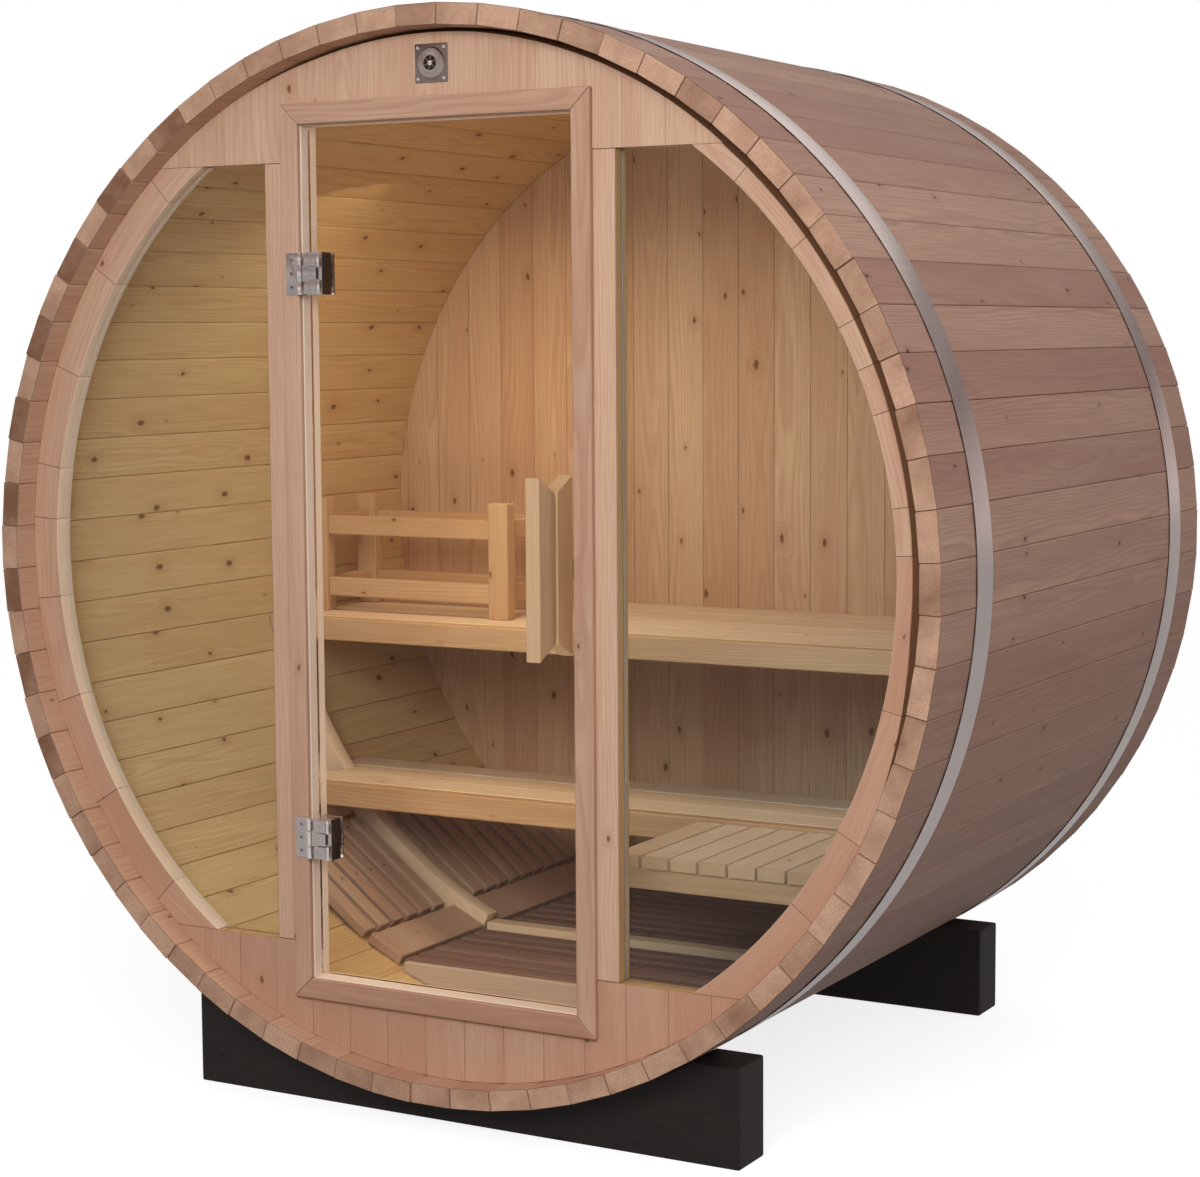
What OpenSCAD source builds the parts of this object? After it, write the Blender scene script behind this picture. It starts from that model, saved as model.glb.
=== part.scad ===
// Barrel sauna: a horizontal stave barrel on two cradles, with a framed front wall,
// a hinged glass door, fixed side windows, two benches, a side bench and a duckboard floor.
// The front faces -Y, X runs across the front, and the origin is on the ground
// under the middle of the barrel.

/* [Barrel] */
// Outside diameter of the barrel across the flat stave faces
barrel_od = 1800; // [1700:10:2200]
// Length of the staves from the front rim to the back rim
barrel_length = 1300; // [1250:10:2000]
// Number of staves round the barrel, shared out over eight groups
stave_count = 72; // [56:8:88]
// Thickness of a stave
stave_thickness = 35; // [30:1:44]
// Running gap between neighbouring staves
stave_gap = 0.4; // [0.2:0.1:0.8]
// Width of a steel hoop
hoop_width = 66; // [30:1:80]
// Thickness of a steel hoop
hoop_thickness = 1.2; // [0.8:0.1:2]
// Distance from the front rim to the front hoop
front_hoop_inset = 142; // [100:1:200]
// Distance from the back rim to the rear hoop
rear_hoop_inset = 118; // [100:1:200]

/* [Cradles] */
// Length of a cradle beam across the barrel
cradle_length = 1070; // [900:10:1200]
// Thickness of a cradle beam along the barrel
cradle_thickness = 90; // [60:5:120]
// Height of a cradle beam at its ends
cradle_height = 168; // [150:1:200]
// Height of the lowest stave above the ground
ground_clearance = 50; // [35:1:70]
// Distance from each rim of the barrel to the cradle near it
cradle_inset = 78; // [60:1:160]

/* [End walls] */
// Distance from the front rim back to the face of the front wall
front_recess = 47; // [30:1:70]
// Distance from the back rim in to the face of the back wall
back_recess = 30; // [15:1:60]
// Thickness of the front and back walls
wall_thickness = 35; // [32:1:48]
// Width of the curved frame between a window and the staves
window_ring = 54; // [40:1:60]
// Height of a window
window_height = 1324; // [1200:4:1330]
// Distance from the middle of the front to the straight edge of a window
window_inner_x = 337; // [330:1:360]
// Thickness of the window glass
window_glass = 6; // [4:1:8]
// Depth from the face of the wall to the window glass
window_glass_depth = 19; // [12:1:24]
// Depth of the groove that holds the edge of the window glass
window_groove = 8; // [5:1:12]

/* [Door] */
// Width of the glass door
door_width = 510; // [480:2:520]
// Height of the glass door
door_height = 1432; // [1300:4:1440]
// Thickness of the door glass
door_glass_thickness = 8; // [6:1:10]
// Clearance round the edge of the door
door_clearance = 6; // [6:0.5:8]
// Width of the door casing's face
casing_width = 36; // [30:1:38]
// How far the casing stands out from the wall
casing_projection = 11; // [8:1:16]
// Thickness of the jamb boards inside the doorway
jamb_thickness = 18; // [14:1:22]
// Depth of the door glass behind the face of the casing
door_setback = 22; // [18:1:26]
// Height of a hinge
hinge_height = 70; // [50:1:90]
// Distance from the middle of the door up and down to the hinges
hinge_spacing = 477; // [350:1:560]
// Radius of a hinge knuckle
knuckle_radius = 5; // [4.5:0.1:6]
// Radius of a hinge pin
pin_radius = 2.2; // [1.8:0.1:2.6]

/* [Handle and catch] */
// Length of a door handle at its outer edge
handle_length = 296; // [200:2:400]
// Depth of a door handle from the glass
handle_depth = 50; // [35:1:60]
// Thickness of a door handle
handle_thickness = 26; // [20:1:32]
// Length of the sloping cut at each end of a handle
handle_bevel = 26; // [10:1:40]
// Distance from the free edge of the door to the middle of a handle
handle_inset = 51; // [45:1:90]
// Height of the roller catch
catch_height = 34; // [24:1:50]

/* [Vent] */
// Side of the square vent plate
vent_plate = 62; // [50:1:80]
// Height of the vent's middle above the barrel's axis
vent_z = 810; // [800:1:815]
// Radius of the dished disc on the vent plate
vent_dish_radius = 26; // [20:0.5:30]
// Radius of the round hub in the middle of the vent
vent_hub_radius = 15; // [8:0.5:18]

/* [Benches] */
// Height of the upper bench above the slatted floor
upper_bench_rise = 591; // [540:1:620]
// Distance from the front rim to the front of the upper bench
upper_bench_front = 715; // [690:1:760]
// Height of the lower bench above the slatted floor
lower_bench_rise = 287; // [260:1:320]
// Distance from the front rim to the front of the lower bench
lower_bench_front = 572; // [540:1:600]
// Depth of the lower bench from front to back
lower_bench_depth = 282; // [220:1:320]
// Thickness of the bench boards
bench_board = 28; // [20:1:32]
// Height of the boards along the front of the benches
fascia_height = 45; // [40:1:60]
// Gap between bench boards
bench_gap = 3.5; // [2:0.5:8]
// Boards in the upper bench
upper_bench_boards = 4; // [3:1:5]
// Boards in the lower bench
lower_bench_boards = 3; // [2:1:4]
// Width of a bench rib along the barrel
rib_width = 35; // [28:1:45]
// Depth of a bench rib in from the staves
rib_depth = 42; // [30:1:50]

/* [Side bench] */
// Distance from the middle of the barrel to the left end of the side bench
side_bench_x = 210; // [180:1:240]
// Distance from the front rim to the front of the side bench
side_bench_front = 255; // [200:1:300]
// Step down from the lower bench to the side bench
side_bench_step = 6; // [0:1:30]
// Thickness of the side bench slats
side_slat_thickness = 22; // [18:1:28]
// Width of a side bench slat
side_slat_width = 50; // [40:1:70]
// Gap between side bench slats
side_slat_gap = 4; // [3:0.5:10]
// Height of the beams under the side bench
side_beam_height = 36; // [28:1:50]

/* [Guard rail] */
// Height of the guard posts above the upper bench
guard_height = 231; // [180:1:300]
// Width of the guard from post to post
guard_width = 478; // [400:1:500]
// Depth of the guard from front to back
guard_depth = 204; // [160:1:240]
// Distance from the barrel's axis to the right side of the guard
guard_right_x = 340; // [320:1:400]
// Distance from the front of the upper bench to the guard
guard_setback = 110; // [80:1:140]
// Width of a guard post
guard_post = 45; // [35:1:50]
// Thickness of the guard posts from front to back
guard_post_depth = 30; // [25:1:35]
// Height of a guard rail
guard_rail = 38; // [28:1:45]
// Height of the lower guard rail above the upper bench
guard_rail_rise = 31; // [20:1:50]
// Distance from the top of the guard posts down to the upper rail
guard_rail_drop = 35; // [5:1:50]
// Thickness of a guard rail
guard_rail_depth = 20; // [15:1:25]

/* [Floor] */
// Height of the slatted floor above the lowest staves
floor_rise = 85; // [65:1:95]
// Distance from the front rim to the first floor slat
floor_front = 425; // [350:1:500]
// Width of a floor slat
floor_slat = 34; // [28:1:45]
// Distance from one floor slat to the next
floor_pitch = 48; // [46:1:60]
// Thickness of the floor slats
floor_slat_thickness = 20; // [16:1:24]
// Length of the slats that slope up each side of the floor
floor_slope = 253; // [180:1:256]
// Width of the long board between the level and the sloping slats
floor_bend_board = 78; // [60:1:90]

/* [Hidden] */

// Fineness of the large circles, and of the small ones
big_fn = 288;
small_fn = 48;
// Gap left where one piece is seated against another
seat = 0.3;

stave_groups = 8;
group_angle = 360 / stave_groups;
stave_angle = 360 / stave_count;
staves_per_group = stave_count / stave_groups;
outer_apothem = barrel_od / 2;
inner_apothem = outer_apothem - stave_thickness;
outer_corner = outer_apothem / cos(stave_angle / 2);
// Radius that everything inside the barrel is cut to
seat_radius = inner_apothem - seat;
axis_z = outer_apothem + ground_clearance;
front_y = -barrel_length / 2;
back_y = barrel_length / 2;

wall_front_y = front_y + front_recess;
wall_back_y = wall_front_y + wall_thickness;
back_wall_front_y = back_y - back_recess - wall_thickness;
window_radius = inner_apothem - window_ring;
window_top = window_height / 2;
window_glass_y = wall_front_y + window_glass_depth;

opening_half_width = door_width / 2 + door_clearance;
opening_half_height = door_height / 2 + door_clearance;
casing_half_width = opening_half_width + casing_width;
casing_half_height = opening_half_height + casing_width;
jamb_half_width = opening_half_width + jamb_thickness;
jamb_half_height = opening_half_height + jamb_thickness;
casing_front_y = wall_front_y - casing_projection;
door_front_y = casing_front_y + door_setback;
door_back_y = door_front_y + door_glass_thickness;
door_left_x = -door_width / 2;
door_right_x = door_width / 2;

knuckle_x = -opening_half_width + knuckle_radius;
knuckle_y = casing_front_y - knuckle_radius;
hinge_leaf_thickness = 2;
hinge_leaf_margin = 6;
hinge_leaf_width = casing_width - hinge_leaf_margin;
hinge_clamp_width = 40;
hinge_pin_clearance = 0.3;
hinge_knuckle_share = 0.3;

floor_z = -inner_apothem + floor_rise;
upper_bench_z = floor_z + upper_bench_rise;
lower_bench_z = floor_z + lower_bench_rise;
side_bench_z = lower_bench_z - side_bench_step;
upper_bench_y = front_y + upper_bench_front;
lower_bench_y = front_y + lower_bench_front;
side_bench_y = front_y + side_bench_front;
floor_y = front_y + floor_front;
floor_back_gap = 8;
floor_back_y = back_wall_front_y - floor_back_gap;
floor_slat_count = floor((floor_back_y - floor_y - floor_slat) / floor_pitch) + 1;
fascia_thickness = bench_board;
rib_y = upper_bench_y;
rib_radius = seat_radius - rib_depth;

// Half the width inside the barrel at a height above its axis
function half_width(z, r = seat_radius) = sqrt(r * r - z * z);
function on_circle(r, a) = [r * cos(a), r * sin(a)];
// Angle that a chord of the given length spans on the seat radius
function chord_angle(length) = 2 * asin(length / 2 / seat_radius);

// Extrudes a shape drawn across the barrel, in X and height above the axis,
// over a depth along the barrel
module across(y, depth) {
    translate([0, y + depth, axis_z])
        rotate([90, 0, 0])
            linear_extrude(height = depth)
                children();
}

// A rectangle across the barrel from its lowest to its highest corner
module panel(x1, z1, x2, z2) {
    translate([x1, z1])
        square([x2 - x1, z2 - z1]);
}

// Everything inside the staves, as a circle
module inside(r = seat_radius) {
    circle(r = r, $fn = big_fn);
}

module mirrored_x() {
    children();
    mirror([1, 0, 0])
        children();
}

/* ---- staves, hoops and cradles ---- */

// One stave: a flat-faced board whose edges point to the barrel's axis
module stave(angle) {
    half = stave_angle / 2;
    outer_half = outer_apothem * tan(half) - stave_gap / 2;
    inner_half = inner_apothem * tan(half) - stave_gap / 2;
    across(front_y, barrel_length)
        rotate(angle)
            polygon([
                [inner_apothem, -inner_half],
                [outer_apothem, -outer_half],
                [outer_apothem, outer_half],
                [inner_apothem, inner_half]
            ]);
}

// The staves of one group, counted round the barrel from its right side
module stave_group(turn) {
    first = (turn - 0.5) * group_angle + stave_angle / 2;
    color("rosybrown")
        for (i = [0 : staves_per_group - 1])
            stave(first + i * stave_angle);
}

module staves_right() { stave_group(0); }
module staves_top_right() { stave_group(1); }
module staves_top() { stave_group(2); }
module staves_top_left() { stave_group(3); }
module staves_left() { stave_group(4); }
module staves_bottom_left() { stave_group(5); }
module staves_bottom() { stave_group(6); }
module staves_bottom_right() { stave_group(7); }

hoop_radius = outer_corner + seat;
hoop_y_front = front_y + front_hoop_inset;
hoop_y_rear = back_y - rear_hoop_inset - hoop_width;
tension_angle = 225;
tension_length = 60;
lug_height = 14;
lug_thickness = 6;
lug_sink = 0.8;
tension_bolt_radius = 4;
tension_bolt_end = 12;
tension_bolt_rise = 9;

// A steel band with two lugs and a tension bolt at its lower left
module hoop(y) {
    across(y, hoop_width)
        difference() {
            circle(r = hoop_radius + hoop_thickness, $fn = big_fn);
            circle(r = hoop_radius, $fn = big_fn);
        }
    translate([0, y + hoop_width / 2, axis_z])
        rotate([0, 90 - tension_angle, 0])
            translate([0, 0, hoop_radius])
                hoop_tensioner();
}

// Local +Z points out from the barrel and X runs round it
module hoop_tensioner() {
    for (side = [-1, 1])
        translate([side * tension_length / 2 - lug_thickness / 2, -hoop_width / 2, hoop_thickness - lug_sink])
            cube([lug_thickness, hoop_width, lug_height]);
    translate([-tension_length / 2 - tension_bolt_end, 0, tension_bolt_rise])
        rotate([0, 90, 0])
            cylinder(r = tension_bolt_radius, h = tension_length + 2 * tension_bolt_end, $fn = small_fn);
}

module hoops() {
    color("silver") {
        hoop(hoop_y_front);
        hoop(hoop_y_rear);
    }
}

// A beam with its top hollowed to bear on the hoop that passes over it
module cradle(y) {
    color("dimgray")
        across(y, cradle_thickness)
            difference() {
                panel(-cradle_length / 2, -axis_z, cradle_length / 2, cradle_height - axis_z);
                circle(r = hoop_radius + hoop_thickness + seat, $fn = big_fn);
            }
}

module front_cradle() { cradle(front_y + cradle_inset); }
module rear_cradle() { cradle(back_y - cradle_inset - cradle_thickness); }

/* ---- front wall, windows and door casing ---- */

// Outline of the left window, grown outwards by a margin
module window_outline(margin = 0) {
    intersection() {
        circle(r = window_radius + margin, $fn = big_fn);
        panel(-barrel_od, -window_top - margin, -window_inner_x + margin, window_top + margin);
    }
}

// Cuts the groove for both windows' glass out of a wall piece
module grooved() {
    difference() {
        children();
        mirrored_x()
            across(window_glass_y - seat, window_glass + 2 * seat)
                window_outline(window_groove + seat);
    }
}

module front_wall_piece() {
    color("burlywood")
        grooved()
            across(wall_front_y, wall_thickness)
                children();
}

// Opening in the wall that the jamb boards line
module jamb_outline() {
    panel(-jamb_half_width - seat, -jamb_half_height - seat,
          jamb_half_width + seat, jamb_half_height + seat);
}

module front_wall_head() {
    front_wall_piece()
        difference() {
            intersection() {
                inside();
                panel(-barrel_od, window_top, barrel_od, barrel_od);
            }
            jamb_outline();
        }
}

module front_wall_apron() {
    front_wall_piece()
        difference() {
            intersection() {
                inside();
                panel(-barrel_od, -barrel_od, barrel_od, -window_top);
            }
            jamb_outline();
        }
}

// The curved strip of wall between the left window and the staves
module front_wall_left() {
    front_wall_piece()
        difference() {
            intersection() {
                inside();
                panel(-barrel_od, -window_top + seat, 0, window_top - seat);
            }
            circle(r = window_radius, $fn = big_fn);
        }
}

module front_wall_right() {
    mirror([1, 0, 0])
        front_wall_left();
}

module front_post_left() {
    front_wall_piece()
        panel(-window_inner_x, -window_top + seat,
              -jamb_half_width - seat, window_top - seat);
}

module front_post_right() {
    mirror([1, 0, 0])
        front_post_left();
}

// The casing: a flat moulding on the face of the wall and a jamb board through it
module casing_ring(part) {
    color("tan") {
        across(casing_front_y, casing_projection - seat)
            casing_side(part, casing_half_width, casing_half_height);
        across(wall_front_y - seat, wall_thickness + seat)
            casing_side(part, jamb_half_width, jamb_half_height);
    }
}

// One side of a mitred frame whose outside half sizes are given
module casing_side(part, half_w, half_h) {
    w = opening_half_width;
    h = opening_half_height;
    t = half_w - w;
    if (part == "left")
        polygon([[-w, -h + seat], [-w - t, -h - t + seat], [-w - t, h + t - seat], [-w, h - seat]]);
    if (part == "right")
        polygon([[w, -h + seat], [w, h - seat], [w + t, h + t - seat], [w + t, -h - t + seat]]);
    if (part == "head")
        polygon([[-w, h], [-w - t, h + t], [w + t, h + t], [w, h]]);
    if (part == "sill")
        polygon([[-w, -h], [w, -h], [w + t, -h - t], [-w - t, -h - t]]);
}

module casing_left() { casing_ring("left"); }
module casing_right() { casing_ring("right"); }
module casing_head() { casing_ring("head"); }
module casing_sill() { casing_ring("sill"); }

module window_glass_left() {
    color("lightcyan", 0.4)
        across(window_glass_y, window_glass)
            window_outline(window_groove);
}

module window_glass_right() {
    mirror([1, 0, 0])
        window_glass_left();
}

module back_wall() {
    color("burlywood")
        across(back_wall_front_y, wall_thickness)
            inside();
}

// A square plate with a dished disc and a round hub
module vent() {
    plate = 2;
    dish = 6;
    hub = 5;
    color("silver")
        translate([0, wall_front_y - seat, axis_z + vent_z])
            rotate([90, 0, 0]) {
                translate([-vent_plate / 2, -vent_plate / 2, 0])
                    cube([vent_plate, vent_plate, plate]);
                translate([0, 0, plate])
                    cylinder(r = vent_dish_radius, h = dish, $fn = small_fn);
                translate([0, 0, plate + dish])
                    cylinder(r = vent_hub_radius, h = hub, $fn = small_fn);
            }
}

/* ---- benches ---- */

// Boards laid side by side across the barrel, each cut to the staves,
// or to the ribs where they stand in its way
module bench_boards(y, depth, z, count, below_rib_tops) {
    board = (depth - (count - 1) * bench_gap) / count;
    for (i = [0 : count - 1]) {
        y1 = y + i * (board + bench_gap);
        beside_rib = y1 < rib_y + rib_width + seat && y1 + board > rib_y - seat;
        across(y1, board)
            intersection() {
                inside(below_rib_tops && beside_rib ? rib_radius - seat : seat_radius);
                panel(-barrel_od, z - bench_board, barrel_od, z);
            }
    }
}

// The board on edge along the front of a bench
module fascia(y, z) {
    across(y, fascia_thickness)
        intersection() {
            inside();
            panel(-barrel_od, z - fascia_height, barrel_od, z);
        }
}

upper_boards_y = upper_bench_y + fascia_thickness + bench_gap;
lower_boards_y = lower_bench_y + fascia_thickness + bench_gap;

module upper_bench() {
    depth = back_wall_front_y - seat - upper_boards_y;
    color("moccasin")
        bench_boards(upper_boards_y, depth, upper_bench_z, upper_bench_boards, false);
}

module upper_bench_fascia() {
    color("moccasin")
        fascia(upper_bench_y, upper_bench_z);
}

module lower_bench() {
    depth = lower_bench_depth - fascia_thickness - bench_gap;
    color("moccasin")
        bench_boards(lower_boards_y, depth, lower_bench_z, lower_bench_boards, true);
}

module lower_bench_fascia() {
    color("moccasin")
        fascia(lower_bench_y, lower_bench_z);
}

tie_z = floor_z - floor_slat_thickness;
tie_height = 30;
level_half_width = half_width(tie_z);
level_angle = asin(level_half_width / seat_radius);
// Angle left open between the level floor, the bend board and the sloping slats
floor_joint_angle = 1;
bend_start = level_angle + floor_joint_angle;
rib_top_z = upper_bench_z - fascia_height - seat;

// A curved rib against the staves from the floor to under the upper bench
module rib_left() {
    color("wheat")
        across(rib_y, rib_width)
            intersection() {
                difference() {
                    inside();
                    inside(rib_radius);
                }
                polygon([
                    [0, 0],
                    on_circle(barrel_od, 270 - bend_start),
                    on_circle(barrel_od, 225),
                    [-barrel_od, rib_top_z],
                    [0, rib_top_z]
                ]);
            }
}

module rib_right() {
    mirror([1, 0, 0])
        rib_left();
}

// A flat bar across the floor between the feet of the two ribs
module rib_tie() {
    color("wheat")
        across(rib_y, rib_width)
            intersection() {
                inside();
                panel(-level_half_width, tie_z, level_half_width, tie_z + tie_height);
            }
}

cleat_width = 45;
cleat_height = 40;
cleat_end_gap = 20;

// Blocks on the staves under the ends of the lower bench,
// and a ledger on the back wall under the upper bench
module bench_cleats() {
    color("wheat") {
        lower_z = lower_bench_z - fascia_height - seat;
        inner_x = half_width(lower_z) - cleat_width;
        mirrored_x()
            across(lower_bench_y, rib_y - lower_bench_y - cleat_end_gap)
                intersection() {
                    inside();
                    panel(-barrel_od, lower_z - cleat_height, -inner_x, lower_z);
                }
        upper_z = upper_bench_z - bench_board - seat;
        across(back_wall_front_y - fascia_thickness - seat, fascia_thickness)
            intersection() {
                inside();
                panel(-barrel_od, upper_z - cleat_height, barrel_od, upper_z);
            }
    }
}

/* ---- side bench ---- */

side_slat_bottom = side_bench_z - side_slat_thickness;
side_beam_bottom = side_slat_bottom - seat - side_beam_height;
side_bench_depth = lower_bench_y - seat - side_bench_y;
side_slat_pitch = side_slat_width + side_slat_gap;
side_slat_count = floor((half_width(side_slat_bottom) - side_bench_x + side_slat_gap) / side_slat_pitch);
side_beam_inset = 8;

module side_bench_slats() {
    color("moccasin")
        for (i = [0 : side_slat_count - 1])
            across(side_bench_y, side_bench_depth)
                panel(side_bench_x + i * side_slat_pitch, side_slat_bottom,
                      side_bench_x + i * side_slat_pitch + side_slat_width, side_bench_z);
}

// Two beams from the free end to the staves, joined by a short rail under the free end
module side_bench_frame() {
    left = side_bench_x + side_beam_inset;
    front = side_bench_y + side_beam_inset;
    back = lower_bench_y - seat - rib_width;
    color("wheat") {
        for (y = [front, back])
            across(y, rib_width)
                intersection() {
                    inside();
                    panel(left, side_beam_bottom, barrel_od, side_slat_bottom - seat);
                }
        across(front + rib_width + seat, back - front - rib_width - 2 * seat)
            panel(left, side_beam_bottom, left + rib_width, side_slat_bottom - seat);
    }
}

/* ---- guard rail on the upper bench ---- */

guard_left_x = -guard_right_x - guard_width;
guard_y = upper_bench_y + guard_setback;
guard_back_post_y = guard_y + guard_depth - guard_post_depth;
guard_bottom = upper_bench_z + seat;
guard_rail_inset = (guard_post_depth - guard_rail_depth) / 2;
guard_low_rail = upper_bench_z + guard_rail_rise;
guard_high_rail = upper_bench_z + guard_height - guard_rail_drop - guard_rail;

module guard_posts() {
    color("moccasin")
        for (x = [guard_left_x, -guard_right_x - guard_post])
            for (y = [guard_y, guard_back_post_y])
                across(y, guard_post_depth)
                    panel(x, guard_bottom, x + guard_post, upper_bench_z + guard_height);
}

module guard_rails() {
    side_inset = (guard_post - guard_rail_depth) / 2;
    color("moccasin")
        for (z = [guard_low_rail, guard_high_rail]) {
            for (y = [guard_y, guard_back_post_y])
                across(y + guard_rail_inset, guard_rail_depth)
                    panel(guard_left_x + guard_post + seat, z,
                          -guard_right_x - guard_post - seat, z + guard_rail);
            for (x = [guard_left_x, -guard_right_x - guard_post])
                across(guard_y + guard_post_depth + seat, guard_depth - 2 * guard_post_depth - 2 * seat)
                    panel(x + side_inset, z, x + side_inset + guard_rail_depth, z + guard_rail);
        }
}

/* ---- floor ---- */

// Slats stop short of the ribs and their tie
function clear_of_rib(y) = y + floor_slat < rib_y - seat || y > rib_y + rib_width + seat;

// A flat board lying on the staves between two angles
module chord_board(a1, a2, thickness) {
    p1 = on_circle(seat_radius, a1);
    p2 = on_circle(seat_radius, a2);
    inward = -thickness * on_circle(1, (a1 + a2) / 2);
    polygon([p1, p2, p2 + inward, p1 + inward]);
}

module duckboard_centre() {
    bearer_width = 40;
    bearer_inset = 124;
    bearer_x = level_half_width - bearer_inset;
    color("peru") {
        for (i = [0 : floor_slat_count - 1]) {
            y = floor_y + i * floor_pitch;
            if (clear_of_rib(y))
                across(y, floor_slat)
                    panel(-level_half_width, tie_z, level_half_width, floor_z);
        }
        mirrored_x()
            across(floor_y, floor_back_y - floor_y)
                intersection() {
                    inside();
                    panel(-bearer_x - bearer_width / 2, -barrel_od,
                          -bearer_x + bearer_width / 2, tie_z - seat);
                }
    }
}

// Slats on the curve of the staves, with a long board along their lower ends
module duckboard_left() {
    bend_end = bend_start + chord_angle(floor_bend_board);
    slope_start = bend_end + floor_joint_angle;
    slope_end = slope_start + chord_angle(floor_slope);
    batten_width = 40;
    middle = 270 - (slope_start + slope_end) / 2;
    underside = seat_radius * cos(chord_angle(floor_slope) / 2);
    color("peru") {
        for (i = [0 : floor_slat_count - 1]) {
            y = floor_y + i * floor_pitch;
            if (clear_of_rib(y))
                across(y, floor_slat)
                    chord_board(270 - slope_end, 270 - slope_start, floor_slat_thickness);
        }
        across(floor_y, rib_y - seat - floor_y)
            chord_board(270 - bend_end, 270 - bend_start, floor_slat_thickness);
        across(rib_y + rib_width + seat, floor_back_y - rib_y - rib_width - seat)
            chord_board(270 - bend_end, 270 - bend_start, floor_slat_thickness);
        for (span = [[floor_y, rib_y - seat], [rib_y + rib_width + seat, floor_back_y]])
            across(span[0], span[1] - span[0])
                intersection() {
                    inside();
                    rotate(middle)
                        translate([underside + seat, -batten_width / 2])
                            square([floor_slat_thickness, batten_width]);
                }
    }
}

module duckboard_right() {
    mirror([1, 0, 0])
        duckboard_left();
}

/* ---- hinges, catch and door ---- */

hinge_centres = [-hinge_spacing, hinge_spacing];
knuckle_gap = 0.5;
knuckle_length = hinge_height * hinge_knuckle_share;
middle_knuckle = hinge_height - 2 * knuckle_length - 2 * knuckle_gap;

// Fixed halves of the hinges: a leaf on the casing, two knuckles and the pin
module hinge_leaves() {
    leaf_y = knuckle_radius - hinge_leaf_thickness - seat;
    leaf_relief = 2;
    narrow_leaf = hinge_leaf_width - knuckle_radius - leaf_relief;
    color("silver")
        for (z = hinge_centres)
            translate([knuckle_x, knuckle_y, axis_z + z]) {
                for (end = [-hinge_height / 2, hinge_height / 2 - knuckle_length]) {
                    translate([0, 0, end])
                        cylinder(r = knuckle_radius, h = knuckle_length, $fn = small_fn);
                    translate([-hinge_leaf_width, leaf_y, end])
                        cube([hinge_leaf_width, hinge_leaf_thickness, knuckle_length]);
                }
                translate([0, 0, -hinge_height / 2])
                    cylinder(r = pin_radius, h = hinge_height, $fn = small_fn);
                translate([-hinge_leaf_width, leaf_y, -hinge_height / 2])
                    cube([narrow_leaf, hinge_leaf_thickness, hinge_height]);
            }
}

// Moving halves of the hinges: the middle knuckle, an arm and the block on the glass
module hinge_clamps() {
    back_plate = 3;
    arm_thickness = 4;
    arm_width = 8;
    edge_inset = 4;
    block_left = door_left_x + edge_inset;
    block_depth = door_front_y - seat - knuckle_y;
    color("silver")
        for (z = hinge_centres)
            translate([0, 0, axis_z + z]) {
                difference() {
                    union() {
                        translate([knuckle_x, knuckle_y, -middle_knuckle / 2])
                            cylinder(r = knuckle_radius, h = middle_knuckle, $fn = small_fn);
                        translate([knuckle_x, knuckle_y, -middle_knuckle / 2])
                            cube([block_left - knuckle_x + arm_width, arm_thickness, middle_knuckle]);
                    }
                    translate([knuckle_x, knuckle_y, -hinge_height])
                        cylinder(r = pin_radius + hinge_pin_clearance, h = 2 * hinge_height, $fn = small_fn);
                }
                translate([block_left + arm_width, knuckle_y, -hinge_height / 2])
                    cube([hinge_clamp_width - arm_width, block_depth, hinge_height]);
                translate([block_left, door_back_y + seat, -hinge_height / 2])
                    cube([hinge_clamp_width, back_plate, hinge_height]);
            }
}

// A sprung roller in a housing on the inside of the right jamb
module roller_catch() {
    housing_depth = 18;
    housing_width = 20;
    glass_gap = 6;
    housing_x = opening_half_width - housing_width - seat;
    color("black")
        translate([housing_x, door_back_y + glass_gap, axis_z - catch_height / 2])
            cube([housing_width, housing_depth, catch_height]);
}

module door_glass() {
    color("lightcyan", 0.4)
        across(door_front_y, door_glass_thickness)
            panel(door_left_x, -door_height / 2, door_right_x, door_height / 2);
}

// A board on edge, long on its outer side and cut back towards the glass
module handle(y, sign) {
    x = door_right_x - handle_inset - handle_thickness / 2;
    half = handle_length / 2;
    color("burlywood")
        translate([x, y, axis_z])
            rotate([90, 0, 90])
                linear_extrude(height = handle_thickness)
                    polygon([
                        [0, -half + handle_bevel],
                        [0, half - handle_bevel],
                        [sign * handle_depth, half],
                        [sign * handle_depth, -half]
                    ]);
}

module handle_outer() { handle(door_front_y - seat, -1); }
module handle_inner() { handle(door_back_y + seat, 1); }

staves_right();
staves_top_right();
staves_top();
staves_top_left();
staves_left();
staves_bottom_left();
staves_bottom();
staves_bottom_right();
hoops();
front_cradle();
rear_cradle();
front_wall_head();
front_wall_apron();
front_wall_left();
front_wall_right();
front_post_left();
front_post_right();
casing_left();
casing_right();
casing_head();
casing_sill();
window_glass_left();
window_glass_right();
back_wall();
vent();
upper_bench();
upper_bench_fascia();
lower_bench();
lower_bench_fascia();
rib_left();
rib_right();
rib_tie();
bench_cleats();
side_bench_slats();
side_bench_frame();
guard_posts();
guard_rails();
duckboard_centre();
duckboard_left();
duckboard_right();
hinge_leaves();
roller_catch();
door_glass();
hinge_clamps();
handle_outer();
handle_inner();
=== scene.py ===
import math
import random

import bmesh
import bpy
from mathutils import Matrix, Vector


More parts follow.
